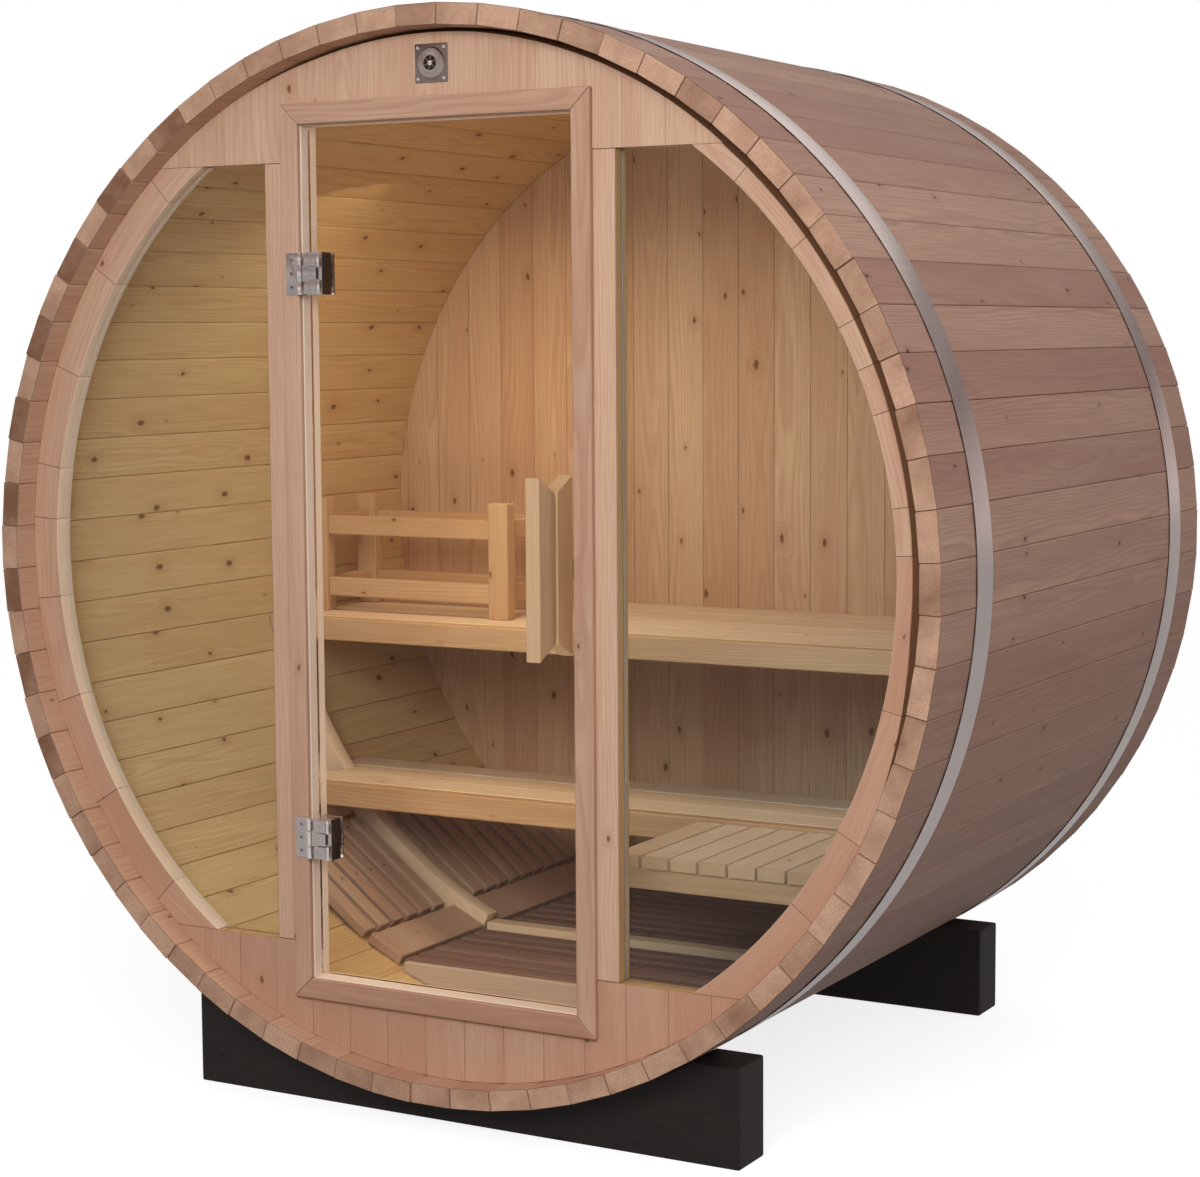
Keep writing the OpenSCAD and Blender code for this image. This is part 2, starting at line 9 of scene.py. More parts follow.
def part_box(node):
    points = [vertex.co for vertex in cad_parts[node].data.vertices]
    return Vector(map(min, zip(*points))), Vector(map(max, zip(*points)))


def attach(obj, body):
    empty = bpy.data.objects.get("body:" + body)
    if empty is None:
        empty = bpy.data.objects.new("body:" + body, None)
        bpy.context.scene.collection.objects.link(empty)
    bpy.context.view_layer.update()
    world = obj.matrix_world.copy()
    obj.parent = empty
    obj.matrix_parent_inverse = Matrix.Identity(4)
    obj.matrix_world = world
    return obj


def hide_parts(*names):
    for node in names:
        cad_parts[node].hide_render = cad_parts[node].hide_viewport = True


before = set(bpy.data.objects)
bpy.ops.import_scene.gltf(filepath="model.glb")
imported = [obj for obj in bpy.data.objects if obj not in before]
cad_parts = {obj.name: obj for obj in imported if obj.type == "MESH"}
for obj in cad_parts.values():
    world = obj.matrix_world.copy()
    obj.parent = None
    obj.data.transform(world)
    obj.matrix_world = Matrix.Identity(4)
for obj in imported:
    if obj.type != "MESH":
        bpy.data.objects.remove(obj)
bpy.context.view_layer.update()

# ---- Camera ----
# A long lens stands to the right of the door, a little above the middle of the barrel,
# and looks slightly down at it.
eye = Vector((2.2875, -4.1334, 1.3255))
turn, tip, lean = -0.51169, -0.09908, -0.00608
look = Vector((math.sin(turn) * math.cos(tip), math.cos(turn) * math.cos(tip), math.sin(tip)))
level = Vector((math.cos(turn), -math.sin(turn), 0))
upright = level.cross(look)
across = level * math.cos(lean) + upright * math.sin(lean)
above = upright * math.cos(lean) - level * math.sin(lean)
lens = bpy.data.cameras.new("front_right_lens")
lens.sensor_width = 36
lens.lens = 77.05
lens.clip_end = 60
camera = bpy.data.objects.new("front_right_camera", lens)
camera.matrix_world = Matrix.Translation(eye) @ Matrix((across, above, -look)).transposed().to_4x4()
bpy.context.scene.collection.objects.link(camera)
bpy.context.scene.camera = camera
bpy.context.scene.view_settings.view_transform = "Standard"


# ---- Floor and studio light ----
# A pale floor that the camera sees as white wherever the sauna casts no shadow, a white
# surround, soft lamps outside, and warm lamps inside that stand for the lit cabin.
def wire(tree, kind, inputs=None, **settings):
    """Adds a shader or group node, sets its settings, and sets or links its inputs."""
    made = tree.nodes.new(kind if kind.startswith("NodeGroup") else "ShaderNode" + kind)
    for name, value in settings.items():
        setattr(made, name, value)
    for name, value in (inputs or {}).items():
        if isinstance(value, bpy.types.NodeSocket):
            tree.links.new(value, made.inputs[name])
        else:
            made.inputs[name].default_value = value
    return made


def new_material(name):
    """An empty material and its output node."""
    material = bpy.data.materials.new(name)
    material.use_nodes = True
    material.node_tree.nodes.clear()
    return material, material.node_tree.nodes.new("ShaderNodeOutputMaterial")


def seen_straight_on(tree):
    """1 for what the camera sees itself or through glass."""
    path = wire(tree, "LightPath")
    return wire(tree, "Math", {0: path.outputs["Is Camera Ray"], 1: path.outputs["Is Transmission Ray"]},
                operation="MAXIMUM").outputs[0]


def speckled(name, dark, light, grain_size, detail, surface, relief=None):
    """A surface whose colour, and relief if it has any, vary with a fine noise."""
    material, out = new_material(name)
    tree = material.node_tree
    where = wire(tree, "TexCoord").outputs["Object"]
    speck = wire(tree, "TexNoise", {"Vector": where, "Scale": grain_size, "Detail": detail}).outputs["Fac"]
    dye = wire(tree, "Mix", {"Factor": speck}, data_type="RGBA")
    dye.inputs[6].default_value = (*dark, 1)
    dye.inputs[7].default_value = (*light, 1)
    shader = wire(tree, "BsdfPrincipled", {"Base Color": dye.outputs[2]})
    for socket, value in surface.items():
        shader.inputs[socket].default_value = value
    if relief:
        strength, distance = relief
        raised = wire(tree, "Bump", {"Strength": strength, "Distance": distance, "Height": speck})
        tree.links.new(raised.outputs[0], shader.inputs["Normal"])
    tree.links.new(shader.outputs[0], out.inputs["Surface"])
    return material


pale_floor, floor_out = new_material("pale_floor")
tree = pale_floor.node_tree
shine = wire(tree, "Math", {0: wire(tree, "LightPath").outputs["Is Glossy Ray"], 1: 0.34},
             operation="MULTIPLY")
glow = wire(tree, "Math", {0: seen_straight_on(tree), 1: 0.80, 2: shine.outputs[0]},
            operation="MULTIPLY_ADD")
bounce = wire(tree, "MapRange", {"Value": seen_straight_on(tree), "To Min": 0.20, "To Max": 0.38})
paint = wire(tree, "BsdfPrincipled", {"Base Color": bounce.outputs[0], "Roughness": 0.9,
                                      "Specular IOR Level": 0.1, "Emission Color": (1, 1, 1, 1),
                                      "Emission Strength": glow.outputs[0]})
tree.links.new(paint.outputs[0], floor_out.inputs["Surface"])
bm = bmesh.new()
bmesh.ops.create_grid(bm, x_segments=1, y_segments=1, size=30)
mesh = bpy.data.meshes.new("studio_floor")
bm.to_mesh(mesh)
bm.free()
mesh.materials.append(pale_floor)
studio_floor = bpy.data.objects.new("studio_floor", mesh)
bpy.context.scene.collection.objects.link(studio_floor)

world = bpy.data.worlds.new("white_studio")
bpy.context.scene.world = world
world.use_nodes = True
tree = world.node_tree
tree.nodes.clear()
# Steel mirrors a studio of pale cards and dark gaps, from the floor to overhead
ray = wire(tree, "TexCoord").outputs["Generated"]
height = wire(tree, "SeparateXYZ", {0: ray}).outputs["Z"]
height = wire(tree, "MapRange", {"Value": height, "From Min": -1.0, "From Max": 1.0}).outputs[0]
cards = wire(tree, "ValToRGB", {0: height})
cards.color_ramp.elements[0].position = 0.40
cards.color_ramp.elements[0].color = (0.10, 0.08, 0.07, 1)
cards.color_ramp.elements[1].position = 1.0
cards.color_ramp.elements[1].color = (0.6, 0.6, 0.6, 1)
for at, card in ((0.445, (0.62, 0.55, 0.53)), (0.49, (0.78, 0.70, 0.68)), (0.55, (0.55, 0.47, 0.45)),
                 (0.61, (0.20, 0.16, 0.16)), (0.65, (0.42, 0.38, 0.38)), (0.69, (0.22, 0.22, 0.20)),
                 (0.73, (1.20, 1.12, 1.08)), (0.80, (0.80, 0.76, 0.72))):
    cards.color_ramp.elements.new(at).color = (*card, 1)
mirrored = wire(tree, "LightPath").outputs["Is Glossy Ray"]
plain = wire(tree, "MapRange", {"Value": seen_straight_on(tree), "To Min": 0.46, "To Max": 1.0})
surround = wire(tree, "Mix", {"Factor": mirrored}, data_type="RGBA")
tree.links.new(plain.outputs[0], surround.inputs[6])
tree.links.new(cards.outputs[0], surround.inputs[7])
sky = wire(tree, "Background", {"Color": surround.outputs[2], "Strength": 1.0})
tree.links.new(sky.outputs[0], wire(tree, "OutputWorld").inputs["Surface"])


def soft_lamp(name, place, towards, size, watts, colour=(1, 1, 1), spread=180):
    """A square area lamp that the camera doesn't see."""
    lamp = bpy.data.lights.new(name, "AREA")
    lamp.shape = "RECTANGLE"
    lamp.size, lamp.size_y = size
    lamp.energy = watts
    lamp.color = colour
    lamp.spread = math.radians(spread)
    held = bpy.data.objects.new(name, lamp)
    aim = (Vector(towards) - Vector(place)).to_track_quat("-Z", "Y")
    held.matrix_world = Matrix.Translation(place) @ aim.to_matrix().to_4x4()
    held.visible_camera = False
    held.visible_glossy = False
    held.visible_transmission = False
    bpy.context.scene.collection.objects.link(held)


soft_lamp("front_lamp", (1.3, -3.9, 2.3), (0.1, -0.6, 1.0), (1.8, 1.4), 98)
soft_lamp("side_lamp", (4.2, -0.6, 3.2), (0.9, 0.1, 1.1), (2.4, 2.0), 48)
soft_lamp("cabin_lamp", (-0.22, -0.06, 1.60), (-0.22, 0.10, 0.5), (0.7, 0.3), 4.2, (1.0, 0.88, 0.68), 160)
soft_lamp("doorway_lamp", (-0.30, -0.44, 0.80), (-0.30, -0.42, 0.1), (0.5, 0.15), 0.4, (1.0, 0.90, 0.72), 110)


# ---- Cradles ----
# Two heavy softwood beams, hollowed on top to the barrel and stained nearly black,
# with their sawn edges eased. The barrel lies on them by its own weight.
def sound_copy(node):
    """The node's solids with their triangles joined into flat faces."""
    bm = bmesh.new()
    bm.from_mesh(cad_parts[node].data)
    bmesh.ops.remove_doubles(bm, verts=bm.verts, dist=1e-5)
    bmesh.ops.dissolve_limit(bm, angle_limit=math.radians(0.4), verts=bm.verts, edges=bm.edges)
    return bm


def ease_edges(bm, width, segments=2, sharper_than=30):
    """Rounds every edge that is sharper than an angle in degrees, and marks the rounding."""
    sharp = [e for e in bm.edges if e.is_manifold and e.calc_face_angle() > math.radians(sharper_than)]
    rounded = set(bmesh.ops.bevel(bm, geom=sharp, offset=width, offset_type="OFFSET", segments=segments,
                                  profile=0.5, affect="EDGES", clamp_overlap=True, material=-1)["faces"])
    edge = bm.verts.layers.float.get("edge") or bm.verts.layers.float.new("edge")
    for v in {v for f in rounded for v in f.verts}:
        if rounded.issuperset(v.link_faces):
            v[edge] = 1.0


def pieces_of(bm):
    """The vertices of each separate solid."""
    unseen = set(bm.verts)
    while unseen:
        group = {unseen.pop()}
        edge = list(group)
        while edge:
            edge = [w for v in edge for e in v.link_edges for w in [e.other_vert(v)] if w in unseen]
            unseen.difference_update(edge)
            group.update(edge)
        yield sorted(group, key=lambda v: v.index)


def middle_of(verts):
    return sum((v.co for v in verts), Vector()) / len(verts)


def mark_grain(bm, grain, face, chance, tones=(0.0, 1.0)):
    """Gives each board its own place in the log it was sawn from, as three lengths along the
    grain, across it and out of the log, and a tone from 0 to 1 that may hang on where it is."""
    bm.verts.index_update()
    board = bm.verts.layers.float_vector.new("board")
    tone = bm.verts.layers.float.new("tone")
    for verts in sorted(pieces_of(bm), key=lambda group: group[0].index):
        middle = middle_of(verts)
        along = (grain(middle) if callable(grain) else Vector(grain)).normalized()
        out = (face(middle) if callable(face) else Vector(face)).normalized()
        wide = out.cross(along)
        start = Vector((chance.uniform(-30, 30), chance.uniform(-0.05, 0.05), chance.uniform(0.035, 0.12)))
        shade = chance.uniform(*(tones(middle) if callable(tones) else tones))
        for v in verts:
            reach = v.co - middle
            v[board] = start + Vector((reach.dot(along), reach.dot(wide), reach.dot(out)))
            v[tone] = shade


def finish_piece(name, bm, materials, stands_for=(), body="root", smooth=False):
    """Makes the piece's object, hangs it on its body and hides the parts it stands for."""
    if smooth:
        for f in bm.faces:
            f.smooth = True
        for e in bm.edges:
            e.smooth = e.is_manifold and e.calc_face_angle() < math.radians(35)
    mesh = bpy.data.meshes.new(name)
    bm.to_mesh(mesh)
    bm.free()
    for material in materials:
        mesh.materials.append(material)
    piece = bpy.data.objects.new(name, mesh)
    bpy.context.scene.collection.objects.link(piece)
    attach(piece, body)
    if stands_for:
        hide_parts(*stands_for)
    return piece


# Sawn softwood: growth rings round the middle of the log, knots with the grain flowing round
# them, fine fibres, a slow drift between a pale and a ruddy tone, and grime in the joints.
softwood = bpy.data.node_groups.new("sawn_softwood", "ShaderNodeTree")
softwood.interface.new_socket("Board", in_out="INPUT", socket_type="NodeSocketVector")
for name in ("Pale", "Ruddy", "Late Wood", "Knot"):
    softwood.interface.new_socket(name, in_out="INPUT", socket_type="NodeSocketColor")
for name in ("Tone", "Edge", "Ring Width", "Ring Contrast", "Knot Share", "Grime", "Roughness"):
    softwood.interface.new_socket(name, in_out="INPUT", socket_type="NodeSocketFloat")
softwood.interface.new_socket("Color", in_out="OUTPUT", socket_type="NodeSocketColor")
for name in ("Roughness", "Height"):
    softwood.interface.new_socket(name, in_out="OUTPUT", socket_type="NodeSocketFloat")
given = wire(softwood, "NodeGroupInput").outputs


def scaled(vector, by):
    return wire(softwood, "VectorMath", {0: vector, 1: by}, operation="MULTIPLY").outputs[0]


def apart(a, b):
    return wire(softwood, "VectorMath", {0: a, 1: b}, operation="SUBTRACT").outputs[0]


def length_of(vector):
    return wire(softwood, "VectorMath", {0: vector}, operation="LENGTH").outputs["Value"]


def calc(a, operation, b=0.0, clamp=False):
    return wire(softwood, "Math", {0: a, 1: b}, operation=operation, use_clamp=clamp).outputs[0]


def spread(value, low, high, start=0.0, end=1.0, kind="SMOOTHSTEP"):
    limits = {"Value": value, "From Min": low, "From Max": high, "To Min": start, "To Max": end}
    return wire(softwood, "MapRange", limits, interpolation_type=kind).outputs[0]


def noise(vector, detail, roughness=0.5):
    return wire(softwood, "TexNoise", {"Vector": vector, "Scale": 1.0, "Detail": detail,
                                       "Roughness": roughness}).outputs


def blend(factor, a, b):
    node = wire(softwood, "Mix", {"Factor": factor}, data_type="RGBA")
    softwood.links.new(a, node.inputs[6])
    softwood.links.new(b, node.inputs[7])
    return node.outputs[2]


# Knots: one may lie in each cell of a grid, and the share says how many cells have one
place = given["Board"]
knot_grid = (4.6, 10.0, 0.0)
cells = scaled(place, knot_grid)
nearest = wire(softwood, "TexVoronoi", {"Vector": cells, "Scale": 1.0, "Randomness": 0.8},
               voronoi_dimensions="2D").outputs
away = length_of(scaled(apart(cells, nearest["Position"]), (0.55 / knot_grid[0], 1.0 / knot_grid[1], 0.0)))
ragged = noise(scaled(place, (90.0, 260.0, 0.0)), 2.0)["Fac"]
away = calc(away, "ADD", spread(ragged, 0.0, 1.0, -0.003, 0.003, "LINEAR"))
luck = wire(softwood, "SeparateColor", {0: nearest["Color"]}).outputs[0]
chosen = calc(luck, "SUBTRACT", calc(1.0, "SUBTRACT", given["Knot Share"]))
knot_radius = spread(chosen, 0.0, 0.8, 0.0012, 0.0058, "LINEAR")
is_knot = spread(chosen, 0.0, 0.01)
knot = calc(spread(away, calc(knot_radius, "MULTIPLY", 0.7), calc(knot_radius, "MULTIPLY", 1.15), 1.0, 0.0),
            "MULTIPLY", is_knot)
halo = calc(spread(away, 0.0, calc(knot_radius, "MULTIPLY", 5.0), 1.0, 0.0), "MULTIPLY", is_knot)

# Growth rings: late wood is the dark end of each ring, and knots push the rings aside
swirl = noise(scaled(place, (1.5, 9.0, 9.0)), 2.0)["Color"]
sway = scaled(apart(swirl, (0.5, 0.5, 0.5)), (0.0, -0.028, -0.028))
from_pith = length_of(scaled(apart(place, sway), (0.0, 1.0, 1.0)))
from_pith = calc(from_pith, "ADD", calc(halo, "MULTIPLY", 0.009))
ring = calc(calc(from_pith, "DIVIDE", given["Ring Width"]), "FRACT")
late = calc(spread(ring, 0.3, 0.85), "MULTIPLY", spread(ring, 0.88, 1.0, 1.0, 0.0))
fibre = noise(scaled(place, (9.0, 420.0, 420.0)), 2.0)["Fac"]
drift = noise(scaled(place, (1.3, 14.0, 14.0)), 3.0, 0.6)["Fac"]

tone = calc(given["Tone"], "ADD", spread(drift, 0.25, 0.75, -0.4, 0.4, "LINEAR"), clamp=True)
colour = blend(tone, given["Pale"], given["Ruddy"])
colour = blend(calc(late, "MULTIPLY", given["Ring Contrast"]), colour, given["Late Wood"])
colour = blend(spread(fibre, 0.62, 0.3, 0.0, 0.30), colour, given["Late Wood"])
colour = blend(calc(halo, "MULTIPLY", 0.4), colour, given["Late Wood"])
colour = blend(calc(knot, "MULTIPLY", 0.9), colour, given["Knot"])
colour = blend(calc(given["Edge"], "MULTIPLY", given["Grime"]), colour, given["Knot"])
wire(softwood, "NodeGroupOutput", {
    "Color": colour,
    "Roughness": calc(given["Roughness"], "SUBTRACT", calc(late, "MULTIPLY", 0.1)),
    "Height": calc(calc(fibre, "MULTIPLY", 0.6), "ADD", calc(late, "MULTIPLY", 0.4))})


def wood(name, pale, ruddy, late_wood, knot_colour, ring_width=0.0028, contrast=0.4, knots=0.6, grime=0.0,
         roughness=0.62, bump=0.25):
    """Bare softwood, whose boards lie between a pale and a ruddy colour by their tone."""
    material, out = new_material(name)
    tree = material.node_tree
    grown = wire(tree, "Group", node_tree=softwood)
    for socket, source in (("Board", "Vector"), ("Tone", "Fac"), ("Edge", "Fac")):
        read = wire(tree, "Attribute", attribute_name=socket.lower())
        tree.links.new(read.outputs[source], grown.inputs[socket])
    recipe = {"Pale": (*pale, 1), "Ruddy": (*ruddy, 1), "Late Wood": (*late_wood, 1),
              "Knot": (*knot_colour, 1), "Ring Width": ring_width, "Ring Contrast": contrast,
              "Knot Share": knots, "Grime": grime, "Roughness": roughness}
    for socket, value in recipe.items():
        grown.inputs[socket].default_value = value
    raised = wire(tree, "Bump", {"Strength": bump, "Distance": 0.0006, "Height": grown.outputs["Height"]})
    shader = wire(tree, "BsdfPrincipled", {"Base Color": grown.outputs["Color"],
                                           "Roughness": grown.outputs["Roughness"],
                                           "Normal": raised.outputs[0], "Specular IOR Level": 0.35})
    tree.links.new(shader.outputs[0], out.inputs["Surface"])
    return material


black_stain = wood("black_stained_beam", (0.017, 0.013, 0.012), (0.026, 0.019, 0.016),
                   (0.008, 0.006, 0.006), (0.005, 0.004, 0.004), contrast=0.6, roughness=0.7, bump=0.6)
beam_chance = random.Random(11)
for name in ("front_cradle", "rear_cradle"):
    beam = sound_copy(name)
    ease_edges(beam, 0.004, segments=3)
    mark_grain(beam, (1, 0, 0), (0, -1, 0), beam_chance)
    finish_piece(name + "_beam", beam, [black_stain], [name])

# ---- Staves ----
# Seventy-two softwood staves with their long edges planed to meet on the barrel's axis and
# chamfered inside and out. Their weathered outsides are pinkish, their insides still pale.
low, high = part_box("staves_right")
barrel_radius = high.x
axis_z = (low.z + high.z) / 2
rim_front, rim_back = low.y, high.y
stave_thickness = 0.035
stave_count = 72
stave_half_angle = math.pi / stave_count
stave_gap = 0.0004
outer_chamfer, inner_chamfer = 0.0022, 0.0024
end_chamfer = 0.0012

outer_face = wood("weathered_stave", (0.47, 0.285, 0.205), (0.35, 0.185, 0.138), (0.23, 0.11, 0.08),
                  (0.05, 0.022, 0.015), knots=0.45, contrast=0.4, grime=0.96)
inner_face = wood("pale_pine", (0.64, 0.43, 0.20), (0.54, 0.315, 0.13), (0.40, 0.20, 0.07),
                  (0.16, 0.062, 0.022), knots=0.9, contrast=0.34, grime=0.92)
rim_face = wood("sheltered_rim", (0.60, 0.37, 0.25), (0.50, 0.26, 0.165), (0.36, 0.17, 0.10),
                (0.10, 0.045, 0.03), knots=0.2, contrast=0.3, grime=0.8)
end_grain = wood("stave_end_grain", (0.61, 0.375, 0.255), (0.22, 0.105, 0.06), (0.19, 0.085, 0.05),
                 (0.10, 0.04, 0.025), ring_width=0.0034, knots=0.0, contrast=0.12, roughness=0.75,
                 grime=0.6)

stave_chance = random.Random(72)
# Tones of the sawn ends, from pale 0 to dark 1, counted from the right side upwards. Most are
# pale and follow chance. Up the left side dark and pale ends take turns.
end_chance = random.Random(20)
end_tones = [end_chance.uniform(0.0, 0.5) for k in range(stave_count)]
pale_end, dark_end = 0.22, 0.89
for k in range(25, 43):
    end_tones[k] = dark_end if k % 2 else pale_end


def reached(verts):
    """All the faces of the solid that the vertices belong to."""
    found, edge = set(verts), list(verts)
    while edge:
        edge = list({e.other_vert(v) for v in edge for e in v.link_edges} - found)
        found.update(edge)
    return {f for v in found for f in v.link_faces}


def add_stave(bm, angle, board, tone, edge, end_tone):
    """One stave, made flat along Y and turned up into its place on the barrel."""
    length = rim_back - rim_front - 0.004
    shift = stave_chance.uniform(-0.002, 0.002)
    made = bmesh.ops.create_cube(bm, size=1.0)["verts"]
    inside = barrel_radius - stave_thickness
    outer = barrel_radius * math.tan(stave_half_angle) - stave_gap / 2
    inner = inside * math.tan(stave_half_angle) - stave_gap / 2
    for v in made:
        out = v.co.x > 0
        v.co.z *= 2 * (outer if out else inner)
        v.co.y *= length
        v.co.x = barrel_radius if out else inside
    faces = {f for v in made for f in v.link_faces}
    half_way = (rim_front + rim_back) / 2
    for y in weather_lines:
        near = [*{e for f in faces for e in f.edges}, *{v for f in faces for v in f.verts}, *faces]
        cut = bmesh.ops.bisect_plane(bm, geom=near, dist=1e-6, plane_co=(0, y - half_way, 0),
                                     plane_no=(0, 1, 0))
        faces = {x for x in cut["geom"] if isinstance(x, bmesh.types.BMFace)}
    for f in faces:
        middle = f.calc_center_median()
        if abs(middle.y) > length / 2 - 1e-4:
            f.material_index = 2
        elif middle.x < barrel_radius - 0.001:
            f.material_index = 1 if weather_lines[0] < middle.y + half_way < weather_lines[1] else 3
    rounded = set()
    rounds = ((outer_chamfer, lambda a, b: a.x > barrel_radius - 1e-4 and abs(a.z - b.z) < 1e-5),
              (inner_chamfer, lambda a, b: a.x < inside + 1e-4 and abs(a.z - b.z) < 1e-5),
              (end_chamfer, lambda a, b: abs(a.y) > length / 2 - 1e-5))
    for chamfer, chosen in rounds:
        sharp = [e for e in {e for f in faces for e in f.edges} if e.calc_face_angle(0) > 0.5
                 and abs(e.verts[0].co.y - e.verts[1].co.y) < 1e-5 + length * (chamfer != end_chamfer)
                 and chosen(e.verts[0].co, e.verts[1].co) and chosen(e.verts[1].co, e.verts[0].co)]
        done = bmesh.ops.bevel(bm, geom=sharp, offset=chamfer, offset_type="OFFSET", segments=3,
                               profile=0.5, affect="EDGES", clamp_overlap=True, material=-1)
        if chamfer == outer_chamfer:
            for f in done["faces"]:
                f.material_index = 0
        rounded = {f for f in rounded if f.is_valid} | set(done["faces"])
        faces = reached(done["verts"])
    verts = {v for f in faces for v in f.verts}
    start = Vector((stave_chance.uniform(-30, 30), stave_chance.uniform(-0.05, 0.05),
                    stave_chance.uniform(0.035, 0.12)))
    # Staves up the left side take only the paler tones: painted light that brightens the cabin's left side
    # seen through the window
    shade = stave_chance.random() * (1.0 if math.cos(angle) > -0.3 else 0.35)
    sunk = stave_chance.uniform(0.0, 0.0005)
    for v in verts:
        v[board] = start + Vector((v.co.y, v.co.z, v.co.x - barrel_radius))
        v[tone] = end_tone if abs(v.co.y) > length / 2 - 0.00001 else shade
        v[edge] = float(rounded.issuperset(v.link_faces))
        v.co.x -= sunk
    place = Matrix.Translation((0, half_way + shift, axis_z)) @ Matrix.Rotation(-angle, 4, "Y")
    bmesh.ops.transform(bm, matrix=place, verts=list(verts))


# The insides are weathered too where they stand proud of the end walls
weather_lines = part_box("front_wall_head")[0].y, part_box("back_wall")[1].y
groups = ["staves_right", "staves_top_right", "staves_top", "staves_top_left", "staves_left",
          "staves_bottom_left", "staves_bottom", "staves_bottom_right"]
group_size = stave_count // len(groups)
for number, name in enumerate(groups):
    bm = bmesh.new()
    board = bm.verts.layers.float_vector.new("board")
    tone = bm.verts.layers.float.new("tone")
    edge = bm.verts.layers.float.new("edge")
    first = number * group_size - group_size // 2
    for k in range(first, first + group_size):
        add_stave(bm, 2 * k * stave_half_angle, board, tone, edge, end_tones[k % stave_count])
    finish_piece(name + "_boards", bm, [outer_face, inner_face, end_grain, rim_face],
                 [name])

# ---- Hoops ----
# Two bands of brushed stainless steel strip, lapped and riveted at the right, and drawn
# tight by a bolt through two welded lugs at the lower left.
low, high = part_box("hoops")
band_outer = high.x
band_inner = band_outer - 0.0012
band_width = 0.066
band_thickness = 0.0008

# Brushing: fine streaks along one axis, and a slow cloud of tone
brushing = bpy.data.node_groups.new("brushed_steel", "ShaderNodeTree")
for name, kind in (("Stretch", "Vector"), ("Color", "Color"), ("Roughness", "Float")):
    brushing.interface.new_socket(name, in_out="INPUT", socket_type="NodeSocket" + kind)
for name, kind in (("Color", "Color"), ("Roughness", "Float"), ("Height", "Float")):
    brushing.interface.new_socket(name, in_out="OUTPUT", socket_type="NodeSocket" + kind)
given = wire(brushing, "NodeGroupInput").outputs
where = wire(brushing, "TexCoord").outputs["Object"]
drawn = wire(brushing, "VectorMath", {0: where, 1: given["Stretch"]}, operation="MULTIPLY").outputs[0]
grit = wire(brushing, "TexNoise", {"Vector": drawn, "Scale": 60.0, "Detail": 2.0}).outputs["Fac"]
cloud = wire(brushing, "TexNoise", {"Vector": where, "Scale": 5.0, "Detail": 2.0}).outputs["Fac"]
rougher = wire(brushing, "MapRange", {"Value": grit, "From Min": 0.3, "From Max": 0.7, "To Min": -0.02,
                                      "To Max": 0.04}).outputs[0]
rougher = wire(brushing, "Math", {0: rougher, 1: given["Roughness"]}, operation="ADD").outputs[0]
lighter = wire(brushing, "MapRange", {"Value": cloud, "To Min": 0.8, "To Max": 1.15}).outputs[0]
tinted = wire(brushing, "VectorMath", {0: given["Color"], "Scale": lighter}, operation="SCALE").outputs[0]
wire(brushing, "NodeGroupOutput", {"Color": tinted, "Roughness": rougher, "Height": grit})


def steel(name, colour, roughness, stretch):
    """Stainless steel brushed across its stretched axis."""
    material, out = new_material(name)
    tree = material.node_tree
    brushed = wire(tree, "Group", node_tree=brushing)
    brushed.inputs["Stretch"].default_value = stretch
    brushed.inputs["Color"].default_value = (*colour, 1)
    brushed.inputs["Roughness"].default_value = roughness
    raised = wire(tree, "Bump", {"Strength": 0.015, "Distance": 0.0003,
                                 "Height": brushed.outputs["Height"]})
    shader = wire(tree, "BsdfPrincipled", {"Base Color": brushed.outputs["Color"], "Metallic": 1.0,
                                           "Roughness": brushed.outputs["Roughness"],
                                           "Normal": raised.outputs[0]})
    tree.links.new(shader.outputs[0], out.inputs["Surface"])
    return material


band_steel = steel("brushed_band", (0.66, 0.56, 0.53), 0.24, (1.0, 30.0, 1.0))
# The front edge of each band is painted near black, as shade
band_edge_shade = steel("band_edge_painted_shade", (0.10, 0.085, 0.08), 0.5, (1.0, 30.0, 1.0))


def add_band(bm, y, width, inner, outer, start, sweep, steps):
    """Sweeps a strip's section round the barrel's axis."""
    corners = [bm.verts.new((r, y + s, axis_z)) for r, s in
               ((inner, 0), (outer - 0.0002, 0.0), (outer, 0.0014), (outer, width - 0.0002), (inner, width))]
    section = bm.faces.new(corners)
    bmesh.ops.rotate(bm, cent=(0, 0, axis_z), matrix=Matrix.Rotation(-start, 3, "Y"), verts=corners)
    full = abs(sweep) > 6.28
    bmesh.ops.spin(bm, geom=[section, *section.edges, *section.verts], cent=(0, 0, axis_z), axis=(0, -1, 0),
                   angle=sweep, steps=steps, use_merge=full, use_duplicate=False)
    if full and section.is_valid:
        bmesh.ops.delete(bm, geom=[section], context="FACES_ONLY")


def block(bm, place, size, edge=0.0, metal=0):
    """A cuboid with rounded edges, of its own metal, centred on a place."""
    made = bmesh.ops.create_cube(bm, size=1.0, matrix=place @ Matrix.Diagonal((*size, 1)))["verts"]
    if edge:
        sides = list({e for v in made for e in v.link_edges})
        made = bmesh.ops.bevel(bm, geom=sides, offset=edge, segments=2, profile=0.5, affect="EDGES",
                               material=-1)["verts"]
    for f in reached(made):
        f.material_index = metal


def stud(bm, place, base, top, depth, segments):
    """A short round stud, centred on a place, with its top towards the place's Z."""
    return bmesh.ops.create_cone(bm, cap_ends=True, segments=segments, radius1=base, radius2=top, depth=depth,
                                 matrix=place)["verts"]


def radial(angle, radius, y):
    """Turns a part made upright at the origin so that its Z points out of the barrel."""
    return (Matrix.Translation((0, y, axis_z)) @ Matrix.Rotation(math.pi / 2 - angle, 4, "Y")
            @ Matrix.Translation((0, 0, radius)))


